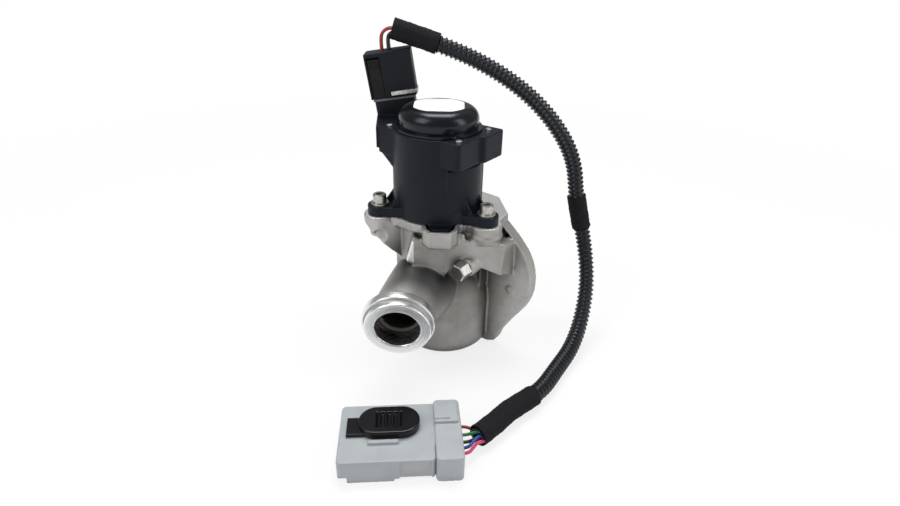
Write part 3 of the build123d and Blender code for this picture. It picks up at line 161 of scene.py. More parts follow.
class Look:
    """One procedural material."""

    def __init__(self, name):
        self.material = bpy.data.materials.new(name)
        self.material.use_nodes = True
        self.tree = self.material.node_tree
        self.shader = self.tree.nodes["Principled BSDF"]

    def node(self, kind, settings=None, /, **sockets):
        """New node with its settings, and its sockets set or linked."""
        new = self.tree.nodes.new(kind)
        for name, value in (settings or {}).items():
            if name == "stops":
                ramp = new.color_ramp
                while len(ramp.elements) < len(value):
                    ramp.elements.new(0.5)
                for element, (place, colour) in zip(ramp.elements, value):
                    element.position = place
                    element.color = (*colour, 1)
            else:
                setattr(new, name, value)
        for name, value in sockets.items():
            self.plug(new.inputs[int(name[1:]) if name[0] == "_" else name], value)
        return Outputs(self, new)

    def plug(self, socket, value):
        if isinstance(value, Value):
            self.tree.links.new(value.socket, socket)
        elif isinstance(value, tuple) and len(value) == 3 and socket.type == "RGBA":
            socket.default_value = (*value, 1)
        else:
            socket.default_value = value

    def math(self, operation, *values):
        sockets = {f"_{index}": value for index, value in enumerate(values)}
        return self.node("ShaderNodeMath", dict(operation=operation), **sockets)["Value"]

    def place(self):
        """Object coordinates, in metres."""
        return self.node("ShaderNodeTexCoord")["Object"]

    def axes(self, vector):
        parts = self.node("ShaderNodeSeparateXYZ", Vector=vector)
        return parts["X"], parts["Y"], parts["Z"]

    def joined(self, x, y, z):
        return self.node("ShaderNodeCombineXYZ", X=x, Y=y, Z=z)["Vector"]

    def noise(self, scale, detail=3.0, roughness=0.5, vector=None):
        vector = vector or self.place()
        return self.node(
            "ShaderNodeTexNoise", Vector=vector, Scale=scale, Detail=detail, Roughness=roughness)["Fac"]

    def mix(self, share, low, high):
        """Colour between two colours."""
        return self.node(
            "ShaderNodeMix", dict(data_type="RGBA"), _0=share, _6=low, _7=high)[2]

    def bump(self, height, strength, distance, normal=None):
        sockets = dict(Height=height, Strength=strength, Distance=distance)
        if normal:
            sockets["Normal"] = normal
        return self.node("ShaderNodeBump", **sockets)["Normal"]

    def soft_edges(self, radius):
        """Normal that rounds off the mesh's edges."""
        return self.node("ShaderNodeBevel", dict(samples=6), Radius=radius)["Normal"]

    def edge_wear(self, radius):
        """One along edges, nought on flat faces."""
        soft = self.soft_edges(radius)
        plain = self.node("ShaderNodeNewGeometry")["Normal"]
        match = self.node("ShaderNodeVectorMath", dict(operation="DOT_PRODUCT"), _0=soft, _1=plain)["Value"]
        return (1 - match).step(0.02, 0.3)

    def finish(self, **sockets):
        """Set or link the shader's own sockets, named with underscores for spaces."""
        for name, value in sockets.items():
            self.plug(self.shader.inputs[name.replace("_", " ")], value)
        return self.material


# Meshes

def linked(name, data):
    """New object in the scene."""
    piece = bpy.data.objects.new(name, data)
    bpy.context.scene.collection.objects.link(piece)
    return piece


def built(name, work):
    """New object from a mesh under work."""
    shape = bpy.data.meshes.new(name)
    work.to_mesh(shape)
    work.free()
    return linked(name, shape)


def closed(name, work):
    """The same, with every face turned outward."""
    bmesh.ops.recalc_face_normals(work, faces=work.faces)
    return built(name, work)


def bridge(work, ring, after):
    """Faces between two rings of equal count."""
    for here in range(len(ring)):
        there = (here + 1) % len(ring)
        work.faces.new((ring[here], ring[there], after[there], after[here]))


def settled(piece):
    """Apply the piece's modifiers for good."""
    bpy.context.view_layer.update()
    shape = bpy.data.meshes.new_from_object(piece.evaluated_get(bpy.context.evaluated_depsgraph_get()))
    piece.modifiers.clear()
    piece.data = shape
    return piece


def prism(name, sections):
    """Closed solid through sections of equal count, each a list of points in millimetres."""
    work = bmesh.new()
    rings = [[work.verts.new(Vector(point) * MM) for point in section] for section in sections]
    for ring, after in zip(rings, rings[1:]):
        bridge(work, ring, after)
    work.faces.new(rings[0])
    work.faces.new(rings[-1])
    return closed(name, work)


def circle(count):
    """Points of a circle of radius one."""
    return [(cos(2 * pi * index / count), sin(2 * pi * index / count)) for index in range(count)]


def carved(piece, cutters):
    """Piece with the cutters taken out of it."""
    for cutter in cutters:
        cut = piece.modifiers.new("cut", "BOOLEAN")
        cut.object = cutter
        cut.solver = "EXACT"
    settled(piece)
    for cutter in cutters:
        bpy.data.objects.remove(cutter)
    return piece


def softened(name, node, voxel, passes, share, cutters=(), additions=()):
    """Copy of a solid with its corners rounded as moulding and casting leave them, in its place.

    It is remeshed in voxels, smoothed in some passes and thinned to a share of its faces.
    """
    shape = nodes[node].data.copy()
    work = bmesh.new()
    work.from_mesh(shape)
    bmesh.ops.remove_doubles(work, verts=work.verts, dist=1e-6)
    work.to_mesh(shape)
    work.free()
    piece = linked(name, shape)
    if cutters:
        carved(piece, cutters)
    if additions:
        work = bmesh.new()
        work.from_mesh(piece.data)
        for addition in additions:
            addition.data.transform(addition.matrix_world)
            work.from_mesh(addition.data)
            bpy.data.objects.remove(addition)
        work.to_mesh(piece.data)
        work.free()
    remesh = piece.modifiers.new("remesh", "REMESH")
    remesh.mode = "VOXEL"
    remesh.voxel_size = voxel
    smooth = piece.modifiers.new("smooth", "SMOOTH")
    smooth.factor = 0.5
    smooth.iterations = passes
    if share < 1:
        piece.modifiers.new("fewer", "DECIMATE").ratio = share
    settled(piece)
    piece.data.shade_smooth()
    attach(piece, nodes[node]["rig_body"])
    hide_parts(node)
    return piece


def turned(name, profile, segments=128):
    """Closed ring turned about its own Z from a loop of radius and height pairs."""
    work = bmesh.new()
    rings = []
    for index in range(segments):
        angle = 2 * pi * index / segments
        rings.append([work.verts.new((r * cos(angle), r * sin(angle), h)) for r, h in profile])
    for ring, after in zip(rings, rings[1:] + rings[:1]):
        for here in range(len(profile)):
            there = (here + 1) % len(profile)
            work.faces.new((ring[here], after[here], after[there], ring[there]))
    return closed(name, work)


def rounded(points, radius, steps=4):
    """Loop of points in a plane with each corner turned into a short arc."""
    result = []
    for before, here, after in zip(points[-1:] + points[:-1], points, points[1:] + points[:1]):
        here = Vector(here)
        inward = Vector(before) - here
        outward = Vector(after) - here
        cut = min(radius, 0.45 * inward.length, 0.45 * outward.length)
        start = here + inward.normalized() * cut
        end = here + outward.normalized() * cut
        for index in range(steps + 1):
            share = index / steps
            result.append(start * (1 - share) ** 2 + here * 2 * share * (1 - share) + end * share ** 2)
    return result


def along(points, step):
    """Points a step apart on a line, each with its direction and its distance from the start."""
    gone = [0.0]
    for start, end in zip(points, points[1:]):
        gone.append(gone[-1] + (end - start).length)
    count = max(2, round(gone[-1] / step))
    frames = []
    place = 0
    for index in range(count + 1):
        distance = gone[-1] * index / count
        while place < len(points) - 2 and gone[place + 1] < distance:
            place += 1
        run = points[place + 1] - points[place]
        share = (distance - gone[place]) / run.length
        frames.append([points[place] + run * share, run.normalized(), distance])
    for index in range(1, count):
        frames[index][1] = (frames[index + 1][0] - frames[index - 1][0]).normalized()
    return frames


def tube(name, frames, radius_at, segments, inner=None):
    """Closed tube round a line, with an inner wall where a radius is given."""
    work = bmesh.new()
    side = frames[0][1].orthogonal().normalized()
    outer_rings, inner_rings = [], []
    for centre, heading, distance in frames:
        side = (side - heading * side.dot(heading)).normalized()
        across = heading.cross(side)
        outer_ring, inner_ring = [], []
        for index in range(segments):
            angle = 2 * pi * index / segments
            spoke = side * cos(angle) + across * sin(angle)
            outer_ring.append(work.verts.new(centre + spoke * radius_at(distance, angle)))
            if inner:
                inner_ring.append(work.verts.new(centre + spoke * inner))
        outer_rings.append(outer_ring)
        inner_rings.append(inner_ring)

    for rings in (outer_rings, inner_rings) if inner else (outer_rings,):
        for ring, after in zip(rings, rings[1:]):
            bridge(work, ring, after)
    for end in (0, -1):
        if inner:
            bridge(work, outer_rings[end], inner_rings[end])
        else:
            work.faces.new(outer_rings[end])
    piece = closed(name, work)
    piece.data.shade_smooth()
    return piece


# Places of the sub-assemblies

CLOCK = Matrix.Rotation(radians(-35), 4, "Z")
SOCKET = Matrix.Translation(Vector((-26.6, 28, 149)) * MM) @ Matrix.Rotation(radians(-9), 4, "Y")
CONNECTOR = Matrix.Translation(Vector((-14.4, -103, 0)) * MM) @ Matrix.Rotation(radians(5), 4, "Z")
CONNECTOR_HALF = 30.75
LOOM_SETBACK = 7.65
DECK_TOP = 91.0 * MM
RING_FACE = Vector((-19.7, -59.0, 43.6)) * MM
RING_INWARD = Vector((0.023, 0.9875, 0.156)).normalized()
slot_of = {part["node"]: part["material_slot"] for part in frame["record"]["subparts"]}


# Finishes

# Machined stripe on the casting's left front corner
STRIPE_X = (-19.0 * MM, -12.6 * MM)
STRIPE_Z = (68.0 * MM, 82.0 * MM)
STRIPE_DEPTH = -22.0 * MM
# The bowl is darker, and a painted shadow makes the pipe and the bowl under the ledge darkest: where each
# fades
BOWL_TOP = (46 * MM, 60 * MM)
BOWL_SIDE = (27 * MM, 34 * MM)
SHADE_TOP = (60 * MM, 64 * MM)
SHADE_PIPE_TOP = (65 * MM, 68 * MM)
SHADE_FOOT = (40 * MM, 57 * MM)
SHADE_FRONT = (-55 * MM, -38 * MM)
SHADE_BACK = (0.0, 12 * MM)
SHADE_LEFT = (-31 * MM, -16 * MM)
SHADE_RIGHT = (24 * MM, 31 * MM)


def cast_aluminium():
    """Rough casting with a machined deck and stripe, painted shade in its corners and a painted shadow under
    the ledge.
    """
    look = Look("cast_aluminium")
    x, y, z = look.axes(look.place())
    facing = look.node("ShaderNodeNewGeometry")["Normal"]
    up = look.axes(facing)[2]
    sand = look.noise(1100, 4, 0.65)
    patches = look.noise(34, 5, 0.55)
    streaks = look.noise(190, 4, 0.6)
    wear = look.edge_wear(0.9 * MM)
    deck = (z > DECK_TOP - 0.35 * MM) * (up > 0.94)
    stripe = (y < STRIPE_DEPTH) * (x < STRIPE_X[1]) * (x > STRIPE_X[0])
    stripe = stripe * (z > STRIPE_Z[0]) * (z < STRIPE_Z[1])
    faced = (deck + stripe).clamp()
    # Painted shade: ambient occlusion darkens corners and recesses to near black
    painted_shade_openness = look.node("ShaderNodeAmbientOcclusion", dict(samples=6), Distance=26 * MM)["AO"]
    colour = look.mix(patches.step(0.3, 0.7), (0.37, 0.356, 0.33), (0.53, 0.525, 0.515))
    colour = look.mix(streaks.step(0.5, 0.85) * 0.45, colour, (0.25, 0.237, 0.212))
    colour = look.mix((0.9 - painted_shade_openness).step(0.0, 0.6) * 0.9, colour, (0.06, 0.057, 0.052))
    bowl = (1 - z.step(*BOWL_TOP)) * (1 - x.step(*BOWL_SIDE))
    colour = look.mix(bowl * 0.3, colour, (0.07, 0.066, 0.056))
    # Painted shadow of the ledge on the pipe's top and on the bowl below it
    pipe_top = up.step(0.3, 0.6) * (1 - z.step(*SHADE_PIPE_TOP))
    low = look.math("MAXIMUM", 1 - z.step(*SHADE_TOP), pipe_top)
    under = low * z.step(*SHADE_FOOT) * y.step(*SHADE_FRONT) * x.step(*SHADE_LEFT)
    under = under * (1 - x.step(*SHADE_RIGHT)) * (1 - y.step(*SHADE_BACK))
    colour = look.mix(under * 0.8, colour, (0.03, 0.03, 0.032))
    colour = look.mix((wear * 0.8 + faced).clamp(), colour, (0.9, 0.898, 0.89))
    rough = 0.44 + 0.14 * sand - 0.16 * faced - 0.1 * wear
    bumpy = look.bump(sand + 0.6 * streaks, 0.45, 0.3 * MM, look.soft_edges(0.5 * MM))
    return look.finish(Base_Color=colour, Metallic=0.85, Roughness=rough, Normal=bumpy)


def turned_aluminium():
    """Bright lathe finish, with tool marks round the piece's own Z and painted reflection streaks by angle.
    """
    look = Look("turned_aluminium")
    x, y, z = look.axes(look.place())
    radius = (x * x + y * y) ** 0.5
    marks = look.math("SINE", radius * 9000 + z * 9000)
    bands = look.noise(1.0, 2, 0.5, look.joined(radius * 700, z * 700, 0.0))
    # Painted reflection: streaks by angle round Z stand in for the bow-tie highlights of a turned face
    angle = look.math("ARCTAN2", y, x)
    round_it = look.joined(look.math("SINE", angle) * 3, look.math("COSINE", angle) * 3, 0.5)
    painted_reflection = look.noise(1.0, 3, 0.6, round_it)
    colour = look.mix(bands.step(0.35, 0.65) * 0.5 + painted_reflection * 0.3, (0.95, 0.95, 0.95), (0.74, 0.745, 0.75))
    rough = 0.2 + 0.14 * bands
    return look.finish(Base_Color=colour, Metallic=1.0, Roughness=rough,
                       Normal=look.bump(marks + 3 * bands, 0.25, 0.05 * MM))


def steel(name, colour, rough, grain=700):
    """Bare or plated metal, brighter along its edges."""
    look = Look(name)
    spots = look.noise(grain, 3, 0.6)
    wear = look.edge_wear(0.25 * MM)
    dark = tuple(0.7 * part for part in colour)
    bright = tuple(min(1.0, 1.25 * part) for part in colour)
    mixed = look.mix(wear, look.mix(spots.step(0.35, 0.7), colour, dark), bright)
    return look.finish(Base_Color=mixed, Metallic=1.0, Roughness=rough + 0.15 * spots,
                       Normal=look.bump(spots, 0.15, 0.05 * MM, look.soft_edges(0.2 * MM)))


def plastic(name, colour, rough, grain=2500, bump=0.12, worn=0.35, radius=0.35, gloss=0.5,
            tint=(1.0, 1.0, 1.0)):
    """Moulded plastic, a little paler along its edges."""
    look = Look(name)
    fine = look.noise(grain, 3, 0.6)
    broad = look.noise(90, 2, 0.5)
    wear = look.edge_wear(radius * MM)
    pale = tuple(min(1.0, 1.6 * part + 0.012) for part in colour)
    dull = tuple(0.82 * part for part in colour)
    mixed = look.mix(wear * worn, look.mix(broad.step(0.35, 0.7), colour, dull), pale)
    return look.finish(Base_Color=mixed, Roughness=rough + 0.1 * fine + 0.06 * broad,
                       Specular_IOR_Level=gloss, Specular_Tint=tint,
                       Normal=look.bump(fine, bump, 0.06 * MM, look.soft_edges(radius * MM)))


def rubber(name, colour):
    """Dull rubber with a fine grain."""
    look = Look(name)
    fine = look.noise(1800, 3, 0.6)
    mixed = look.mix(fine, colour, tuple(0.6 * part for part in colour))
    return look.finish(Base_Color=mixed, Roughness=0.7, Normal=look.bump(fine, 0.2, 0.05 * MM))


def cloth_tape():
    """Woven tape, a little slack under its surface."""
    look = Look("cloth_tape")
    place = look.place()
    weave = look.noise(3200, 2, 0.6, place)
    slack = look.noise(260, 3, 0.6, place)
    colour = look.mix(weave.step(0.3, 0.75), (0.006, 0.006, 0.0075), (0.021, 0.0205, 0.0235))
    return look.finish(Base_Color=colour, Roughness=0.9, Specular_IOR_Level=0.2,
                       Normal=look.bump(weave + 1.5 * slack, 0.6, 0.25 * MM))


def pale_plastic():
    """The grey connector's plastic, with a faint cloudiness."""
    look = Look("pale_connector")
    fine = look.noise(3000, 3, 0.6)
    broad = look.noise(70, 3, 0.6)
    wear = look.edge_wear(0.5 * MM)
    colour = look.mix(broad.step(0.3, 0.75), (0.405, 0.43, 0.45), (0.36, 0.385, 0.405))
    colour = look.mix(wear * 0.35, colour, (0.52, 0.545, 0.565))
    return look.finish(Base_Color=colour, Roughness=0.42 + 0.12 * fine,
                       Normal=look.bump(fine, 0.1, 0.05 * MM, look.soft_edges(0.4 * MM)))


def blank_label():
    """White paper with nothing on it."""
    look = Look("blank_label")
    fine = look.noise(1500, 2, 0.5)
    colour = look.mix(fine, (0.88, 0.88, 0.88), (0.84, 0.84, 0.85))
    return look.finish(Base_Color=colour, Roughness=0.45 + 0.1 * fine)


BLUISH = (0.82, 0.9, 1.0)
FINISHES = {
    "cast_aluminium": cast_aluminium(),
    "plated_steel": steel("plated_steel", (0.5, 0.49, 0.46), 0.35),
    "bright_steel": steel("bright_steel", (0.66, 0.65, 0.62), 0.24),
    "spring_steel": steel("spring_steel", (0.4, 0.4, 0.4), 0.3),
    "bronze": steel("bronze", (0.6, 0.44, 0.24), 0.4),
    "tinned_brass": steel("tinned_brass", (0.72, 0.68, 0.58), 0.3),
    "copper_wire": steel("copper_wire", (0.63, 0.32, 0.16), 0.35),
    "zinc_screw": steel("zinc_screw", (0.58, 0.565, 0.53), 0.28, 900),
    "black_rubber": rubber("black_rubber", (0.02, 0.02, 0.02)),
    "grey_seal": rubber("grey_seal", (0.2, 0.2, 0.2)),
    "black_moulding": plastic("black_moulding", (0.0065, 0.0076, 0.0125), 0.38, gloss=0.24, tint=BLUISH),
    "black_cap": plastic("black_cap", (0.004, 0.0048, 0.008), 0.17, bump=0.04, gloss=0.4, tint=BLUISH),
    "black_plug": plastic("black_plug", (0.008, 0.0085, 0.012), 0.44, gloss=0.26, tint=BLUISH),
    "black_latch": plastic("black_latch", (0.0085, 0.0085, 0.0095), 0.46, gloss=0.26),
    "black_lock": plastic("black_lock", (0.003, 0.0033, 0.005), 0.16, bump=0.05, worn=0.1, gloss=0.36),
    "black_conduit": plastic("black_conduit", (0.005, 0.005, 0.006), 0.24, bump=0.05, radius=0.15, gloss=0.5,
                             tint=BLUISH),
    "cloth_tape": cloth_tape(),
    "natural_nylon": plastic("natural_nylon", (0.6, 0.57, 0.5), 0.45),
    "pale_connector": pale_plastic(),
    "red_insulation": plastic("red_insulation", (0.42, 0.03, 0.035), 0.35, worn=0.1),
    "green_insulation": plastic("green_insulation", (0.03, 0.22, 0.07), 0.35, worn=0.1),
    "black_insulation": plastic("black_insulation", (0.012, 0.012, 0.012), 0.35, worn=0.1),
    "blue_insulation": plastic("blue_insulation", (0.015, 0.06, 0.32), 0.35, worn=0.1),
    "pink_insulation": plastic("pink_insulation", (0.75, 0.05, 0.19), 0.35, worn=0.1),
}


def dress(piece, finish):
    """Give the whole piece one finish."""
    piece.data.materials.clear()
    piece.data.materials.append(finish)
    for face in piece.data.polygons:
        face.material_index = 0
    return piece


for node, part in nodes.items():
    for place in part.material_slots:
        place.material = FINISHES[slot_of[node]]


# Casting, mouldings and connector with their soft corners

# Screw bosses, in the casting's own turn and in millimetres
SCREW_ANGLES = (229.5, 359.0, 114.3)
LEFT_SCREW_ANGLE = SCREW_ANGLES[0]
SCREW_CIRCLE = 34.4
LOBE_RADIUS = 9.4
# Distance from the valve's axis and height of the web's lower edge
WEB_SLOPE = [(20, 62), (29.5, 70), (34.4, 74.9), (37.5, 77.5), (40.5, 81.6), (42.4, 84.5), (43.6, 86.5)]
WEB_TOP = 88.5
POCKET_PLACE = (36.6, 79.5)
# Radius and depth of the pocket's rings
POCKET_RINGS = ((1.2, 3.2), (5.0, 9.8))
BOSS_FOOT_RADIUS = 8.0
BOSS_FOOT_HEIGHTS = (60.0, 77.5)
# Sections of the ledge's right part: a depth, then its outline in X and Z
LEDGE_SECTIONS = [
    (-27.9, [(8, 66), (22.5, 67.2), (37.6, 61.4), (38.6, 81), (0, 85)]),
    (-19.0, [(8, 66), (22.5, 67.2), (46.5, 57.5), (45.5, 80), (0, 85)]),
    (-2.0, [(8, 66), (22.5, 67.2), (40.0, 60), (40.0, 80), (0, 85)])]
# Wall between the neck and the flange
INFILL_PLAN = [(14, 2), (31, 2), (31, 15), (14, 15)]
INFILL_HEIGHTS = (46.0, 86.0)


def boss_cutters():
    """Rounds that take away the foot of each screw boss."""
    cutters = []
    for angle in SCREW_ANGLES:
        cutter = prism("boss_foot", [
            [(SCREW_CIRCLE + BOSS_FOOT_RADIUS * x, BOSS_FOOT_RADIUS * y, height) for x, y in circle(32)]
            for height in BOSS_FOOT_HEIGHTS])
        cutter.data.transform(CLOCK @ Matrix.Rotation(radians(angle), 4, "Z"))
        cutters.append(cutter)
    return cutters


def screw_web():
    """Sloping web under the left screw's lobe, with the conical pocket in its face."""
    sections = []
    for reach, low in WEB_SLOPE:
        past = max(0.0, reach - SCREW_CIRCLE)
        half = max(1.2, (LOBE_RADIUS ** 2 - past ** 2) ** 0.5 - 0.3)
        sections.append([
            (reach, -half, low), (reach, half, low), (reach, half, WEB_TOP), (reach, -half, WEB_TOP)])
    web = prism("screw_web", sections)
    pocket = prism("web_pocket", [
        [(POCKET_PLACE[0] + radius * x, depth, POCKET_PLACE[1] + radius * y) for x, y in circle(24)]
        for radius, depth in POCKET_RINGS])
    web = carved(web, [pocket])
    web.matrix_world = CLOCK @ Matrix.Rotation(radians(LEFT_SCREW_ANGLE), 4, "Z")
    return web


def casting_additions():
    """Web, the ledge's full face and the wall between the neck and the flange."""
    ledge_face = prism("ledge_face", [
        [(x, depth, z) for x, z in outline] for depth, outline in LEDGE_SECTIONS])
    infill = prism("infill", [[(x, y, height) for x, y in INFILL_PLAN] for height in INFILL_HEIGHTS])
    infill.matrix_world = CLOCK
    pieces = [screw_web(), ledge_face, infill]
    bpy.context.view_layer.update()
    return pieces


dress(softened("housing_casting", "valve_housing", voxel=0.55 * MM, passes=8, share=0.45,
               cutters=boss_cutters(), additions=casting_additions()),
      FINISHES["cast_aluminium"])

# Blocks on the pale connector: X from and to, Y from and to, Z from and to, along the connector
SIDE_RECESS = (-0.6, 14.9, -21.0, -18.3, -1.0, 12.5)
CORNER_NOTCH = (-32.0, -26.1, -21.0, -17.4, -1.0, 4.4)
FRONT_KEEL = (-26.1, -3.3, -19.25, -11.0, 0.1, 3.0)
SEAM_BRIDGE = (15.8, 18.2, -9.3, 19.0, 6.0, 13.5)


def connector_block(name, x0, x1, y0, y1, z0, z1):
    """Block placed along the pale connector."""
    block = prism(name, [[(x0, y0, z), (x1, y0, z), (x1, y1, z), (x0, y1, z)] for z in (z0, z1)])
    block.data.transform(CONNECTOR)
    return block


def connector_additions():
    """Strip along the front of the connector's foot, and a bridge over part of the seam to its collar."""
    pieces = [connector_block("front_keel", *FRONT_KEEL), connector_block("seam_bridge", *SEAM_BRIDGE)]
    bpy.context.view_layer.update()
    return pieces


# Each softened piece: its node, its voxel, its passes, the share of faces kept, and what is cut and added
SOFT_PIECES = {
    "actuator_moulding": ("actuator_housing", 0.42 * MM, 2, 0.3),
    "plug_moulding": ("loom_plug_shell", 0.28 * MM, 2, 0.5),
    "pale_body": ("connector_shell", 0.36 * MM, 2, 0.5,
                  [connector_block("side_recess", *SIDE_RECESS),
                   connector_block("corner_notch", *CORNER_NOTCH)],
                  connector_additions()),
    "pale_collar": ("connector_cover", 0.3 * MM, 2, 0.5),
    "oval_lock": ("connector_lock", 0.25 * MM, 2, 0.6),
}
for name, (node, *values) in SOFT_PIECES.items():
    dress(softened(name, node, *values), FINISHES[slot_of[node]])


# Return spring, with a mesh of its own; in the valve it is pressed together as the valve opens

spring = linked("coil_spring", nodes["return_spring"].data.copy())
spring.matrix_world = nodes["return_spring"].matrix_world
dress(spring, FINISHES[slot_of["return_spring"]])
spring.data.shade_smooth()
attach(spring, nodes["return_spring"]["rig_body"])
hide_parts("return_spring")
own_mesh(spring)


# Bright ring of the inlet

# Radius and depth behind the ring's face, in millimetres
RING_LOOP = [
    (12.61, 12.0), (12.61, 0.6), (13.15, -0.04), (18.05, -0.04), (18.54, 0.45), (18.54, 3.2), (17.74, 3.25),
    (17.74, 3.96), (19.85, 3.96), (20.34, 4.45), (20.34, 9.0), (17.05, 11.2), (16.0, 11.2), (16.0, 12.0)]
RING_CORNER = 0.22
ring = turned("inlet_ring_face", [(r * MM, h * MM) for r, h in rounded(RING_LOOP, RING_CORNER)])
ring.matrix_world = Matrix.Translation(RING_FACE) @ RING_INWARD.to_track_quat("Z", "Y").to_matrix().to_4x4()
dress(ring, turned_aluminium())
ring.data.shade_smooth()
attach(ring, BODY)


# Blank label on the cap's flat top

LABEL_RADIUS = 15.2 * MM
LABEL_HALF = 13.8 * MM
LABEL_THICKNESS = 0.12 * MM
CAP_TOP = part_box("actuator_cap")[1].z

work = bmesh.new()
corners = [
    (max(-LABEL_HALF, min(LABEL_HALF, LABEL_RADIUS * x)), max(-LABEL_HALF, min(LABEL_HALF, LABEL_RADIUS * y)))
    for x, y in circle(96)]
low = [work.verts.new((x, y, CAP_TOP)) for x, y in corners]
high = [work.verts.new((x, y, CAP_TOP + LABEL_THICKNESS)) for x, y in corners]
work.faces.new(high)
work.faces.new(list(reversed(low)))
bridge(work, low, high)
label = built("cap_label", work)
dress(label, blank_label())
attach(label, BODY)


# Loom

def smooth_curve(name, *lines):
    """Curve with a smooth line for each list of control points in millimetres."""
    curve = bpy.data.curves.new(name, "CURVE")
    curve.dimensions = "3D"
    for points in lines:
        spline = curve.splines.new("NURBS")
        spline.points.add(len(points) - 1)
        for point, place in zip(spline.points, points):
            point.co = (*(part * MM for part in place), 1)
        spline.order_u = 3
        spline.use_endpoint_u = True
    return curve


def spline_points(name, points):
    """Smooth line through a list of control points, as closely spaced points."""
    curve = smooth_curve(name, points)
    curve.resolution_u = 24
    carrier = linked(name, curve)
    line = bpy.data.meshes.new_from_object(carrier)
    places = [vertex.co.copy() for vertex in line.vertices]
    bpy.data.objects.remove(carrier)
    bpy.data.meshes.remove(line)
    return places


def conduit_radius(distance, angle):
    """Ribs of the corrugated conduit."""
    phase = (distance / RIB_PITCH) % 1
    crest = min(1.0, max(0.0, 1.35 - abs(phase - 0.5) * 4.4))
    return CONDUIT_RADIUS - RIB_DEPTH * (1 - crest * crest * (3 - 2 * crest))


def tape_radius(distance, angle):
    """Overlapping turns of tape wound on a slant."""
    turn = (distance / TAPE_PITCH + angle / (2 * pi)) % 1
    crease = TAPE_CREASE * sin(3 * angle + 900 * distance) * sin(1300 * distance)
    return TAPE_RADIUS - TAPE_STEP * turn + crease


route = spline_points("loom_route", CONDUIT_POINTS)
back_of_connector = CONNECTOR @ Vector((CONNECTOR_HALF * MM + LOOM_SETBACK * MM, 0, 0))
connector_heading = (CONNECTOR.to_3x3() @ Vector((1, 0, 0))).normalized()
while (route[-1] - back_of_connector).dot(connector_heading) < 0:
    route.pop()
frames = along(route, RIB_PITCH / STATIONS_PER_RIB)
loom_length = frames[-1][2]
conduit = tube("corrugated_conduit", frames, conduit_radius, CONDUIT_SEGMENTS, CONDUIT_BORE)
dress(conduit, FINISHES["black_conduit"])
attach(conduit, BODY)
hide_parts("conduit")

tape_pieces = []
for name, (start, end) in TAPES.items():
    end = min(end * MM, loom_length)
    wrap = [station for station in frames if start * MM - 1e-6 <= station[2] <= end + 1e-6][::2]
    piece = tube(name + "_wrap", wrap, tape_radius, TAPE_SEGMENTS, CONDUIT_RADIUS + TAPE_ROOM)
    dress(piece, FINISHES["cloth_tape"])
    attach(piece, BODY)
    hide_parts(name)
    tape_pieces.append(piece)

WIRE_RADIUS = 0.87
WIRE_ROOT = 23.4
# Stations of a wire along the pale connector: in its socket, out of it, half way, at the conduit and in it
WIRE_STATIONS = (27.05, 33.4, 36.5, 39.6, 43.5)
WIRE_HEIGHT = 6.5
WIRE_CREST = 6.8
LOOM_DEPTH = 28
VALVE_END_OUTER = [(-34.6, 181.4), (-32.6, 186.2), (-27.2, 187.9), (-22, 186.6)]
VALVE_END_INNER = [(-30.9, 182.6), (-27.7, 185.5), (-23, 185.8)]
# Each wire: its route at the valve, its place along and across the black plug, its place across the pale
# connector, and the place across and height of its end in the conduit's mouth
WIRES = {
    "red": (VALVE_END_OUTER, -3.2, -1.4, 8.5, 4.6, 6.6),
    "green": (VALVE_END_OUTER, -3.2, 1.4, 2.5, 2.4, 8.6),
    "black": (VALVE_END_INNER, 1.0, -2.4, -2.5, 1.8, 4.5),
    "blue": (VALVE_END_INNER, 1.0, 0.0, -6.5, 0.3, 8.0),
    "pink": (VALVE_END_INNER, 1.0, 2.4, -10.0, -1.6, 6.1),
}


def wire_ends(colour, way, along_plug, depth, across, mouth_across, mouth_height):
    """Both visible ends of one wire."""
    root = SOCKET @ (Vector((along_plug, depth, WIRE_ROOT)) * MM) / MM
    valve_end = [root] + [Vector((x, LOOM_DEPTH + depth, z)) for x, z in way]
    in_socket, out_of_it, half_way, at_conduit, in_conduit = WIRE_STATIONS
    plug_end = [CONNECTOR @ (Vector(place) * MM) / MM for place in (
        (in_socket, across, WIRE_HEIGHT), (out_of_it, across, WIRE_HEIGHT),
        (half_way, (across + mouth_across) / 2, (WIRE_CREST + mouth_height) / 2),
        (at_conduit, mouth_across, mouth_height), (in_conduit, mouth_across, mouth_height))]
    curve = smooth_curve(colour, valve_end, plug_end)
    curve.bevel_depth = WIRE_RADIUS * MM
    curve.bevel_resolution = 4
    curve.use_fill_caps = True
    piece = linked(colour + "_wire_ends", curve)
    curve.materials.append(FINISHES[colour + "_insulation"])
    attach(piece, BODY)
    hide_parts("wire_" + colour)
    return piece


wire_pieces = [wire_ends(colour, *values) for colour, values in WIRES.items()]
connector_pieces = [bpy.data.objects[name] for name in ("pale_body", "pale_collar", "oval_lock")]
on_the_loom = tape_pieces + wire_pieces + connector_pieces + ["connector_seal", "connector_terminals"]


# Floor, light and camera

FLOOR_HALF = 6.0
# The camera sees the floor white, and near the part it sees some of the part's shadow
FLOOR_FADE = (0.22, 0.75)
GLOW_NEAR = 0.8
SKY_STRENGTH = 0.3
LAMP_AIM = (0.01, -0.02, 0.08)
# Each lamp: its place, its size and its power
LAMPS = {
    "left_softbox": ((-0.75, -0.55, 0.85), (0.55, 0.7), 4.6),
    "right_softbox": ((0.95, -0.35, 0.6), (0.35, 0.9), 3.4),
    "top_softbox": ((0.0, 0.25, 1.1), (0.7, 0.45), 8.5),
}


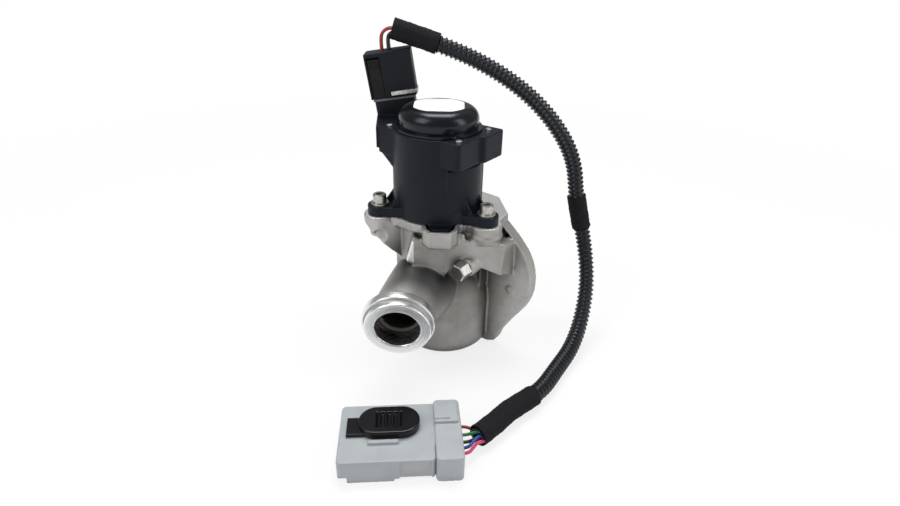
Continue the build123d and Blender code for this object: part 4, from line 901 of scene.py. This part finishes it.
def floor():
    """White floor that catches a soft shadow."""
    look = Look("pale_floor")
    rays = look.node("ShaderNodeLightPath")
    seen = look.math("MAXIMUM", rays["Is Camera Ray"], rays["Is Glossy Ray"])
    seen = look.math("MAXIMUM", seen, rays["Is Transmission Ray"])
    look.finish(Base_Color=(0.92, 0.92, 0.92), Roughness=0.9)
    glow = look.node("ShaderNodeEmission", Color=(1.0, 1.0, 1.0), Strength=1.0)["Emission"]
    x, y, _ = look.axes(look.place())
    away = ((x * x + y * y) ** 0.5).step(*FLOOR_FADE)
    share = seen * (GLOW_NEAR + (1 - GLOW_NEAR) * away)
    matt = Value(look, look.shader.outputs["BSDF"])
    both = look.node("ShaderNodeMixShader", _0=share, _1=matt, _2=glow)
    look.tree.links.new(both["Shader"].socket, look.tree.nodes["Material Output"].inputs["Surface"])
    work = bmesh.new()
    bmesh.ops.create_grid(work, x_segments=1, y_segments=1, size=FLOOR_HALF)
    plane = built("floor", work)
    dress(plane, look.material)


def lamp(name, place, size, power):
    """Soft lamp that looks at the part."""
    data = bpy.data.lights.new(name, "AREA")
    data.shape = "RECTANGLE"
    data.size, data.size_y = size
    data.energy = power
    light = linked(name, data)
    light.location = place
    light.rotation_euler = (Vector(LAMP_AIM) - Vector(place)).to_track_quat("-Z", "Y").to_euler()


def studio():
    """Sky that the camera sees white, and the lamps."""
    world = bpy.data.worlds.new("studio")
    bpy.context.scene.world = world
    world.use_nodes = True
    tree = world.node_tree
    rays = tree.nodes.new("ShaderNodeLightPath")
    sky = tree.nodes["Background"]
    sky.inputs["Color"].default_value = (1, 1, 1, 1)
    sky.inputs["Strength"].default_value = SKY_STRENGTH
    white = tree.nodes.new("ShaderNodeBackground")
    white.inputs["Strength"].default_value = 1.0
    white.inputs["Color"].default_value = (1, 1, 1, 1)
    both = tree.nodes.new("ShaderNodeMixShader")
    tree.links.new(rays.outputs["Is Camera Ray"], both.inputs[0])
    tree.links.new(sky.outputs[0], both.inputs[1])
    tree.links.new(white.outputs[0], both.inputs[2])
    tree.links.new(both.outputs[0], tree.nodes["World Output"].inputs["Surface"])
    for name, values in LAMPS.items():
        lamp(name, *values)


def camera():
    """Camera where the photograph was taken from."""
    data = bpy.data.cameras.new("camera")
    data.sensor_width = 36
    data.lens = CAMERA_LENS
    data.clip_start = 0.01
    view = linked("camera", data)
    tilt = Euler((pi / 2 - CAMERA_PITCH, 0, 0)).to_matrix() @ Matrix.Rotation(CAMERA_ROLL, 3, "Z")
    view.matrix_world = Matrix.Translation(CAMERA_PLACE) @ tilt.to_4x4()
    bpy.context.scene.camera = view


floor()
studio()
camera()
bpy.context.scene.view_settings.view_transform = "Standard"
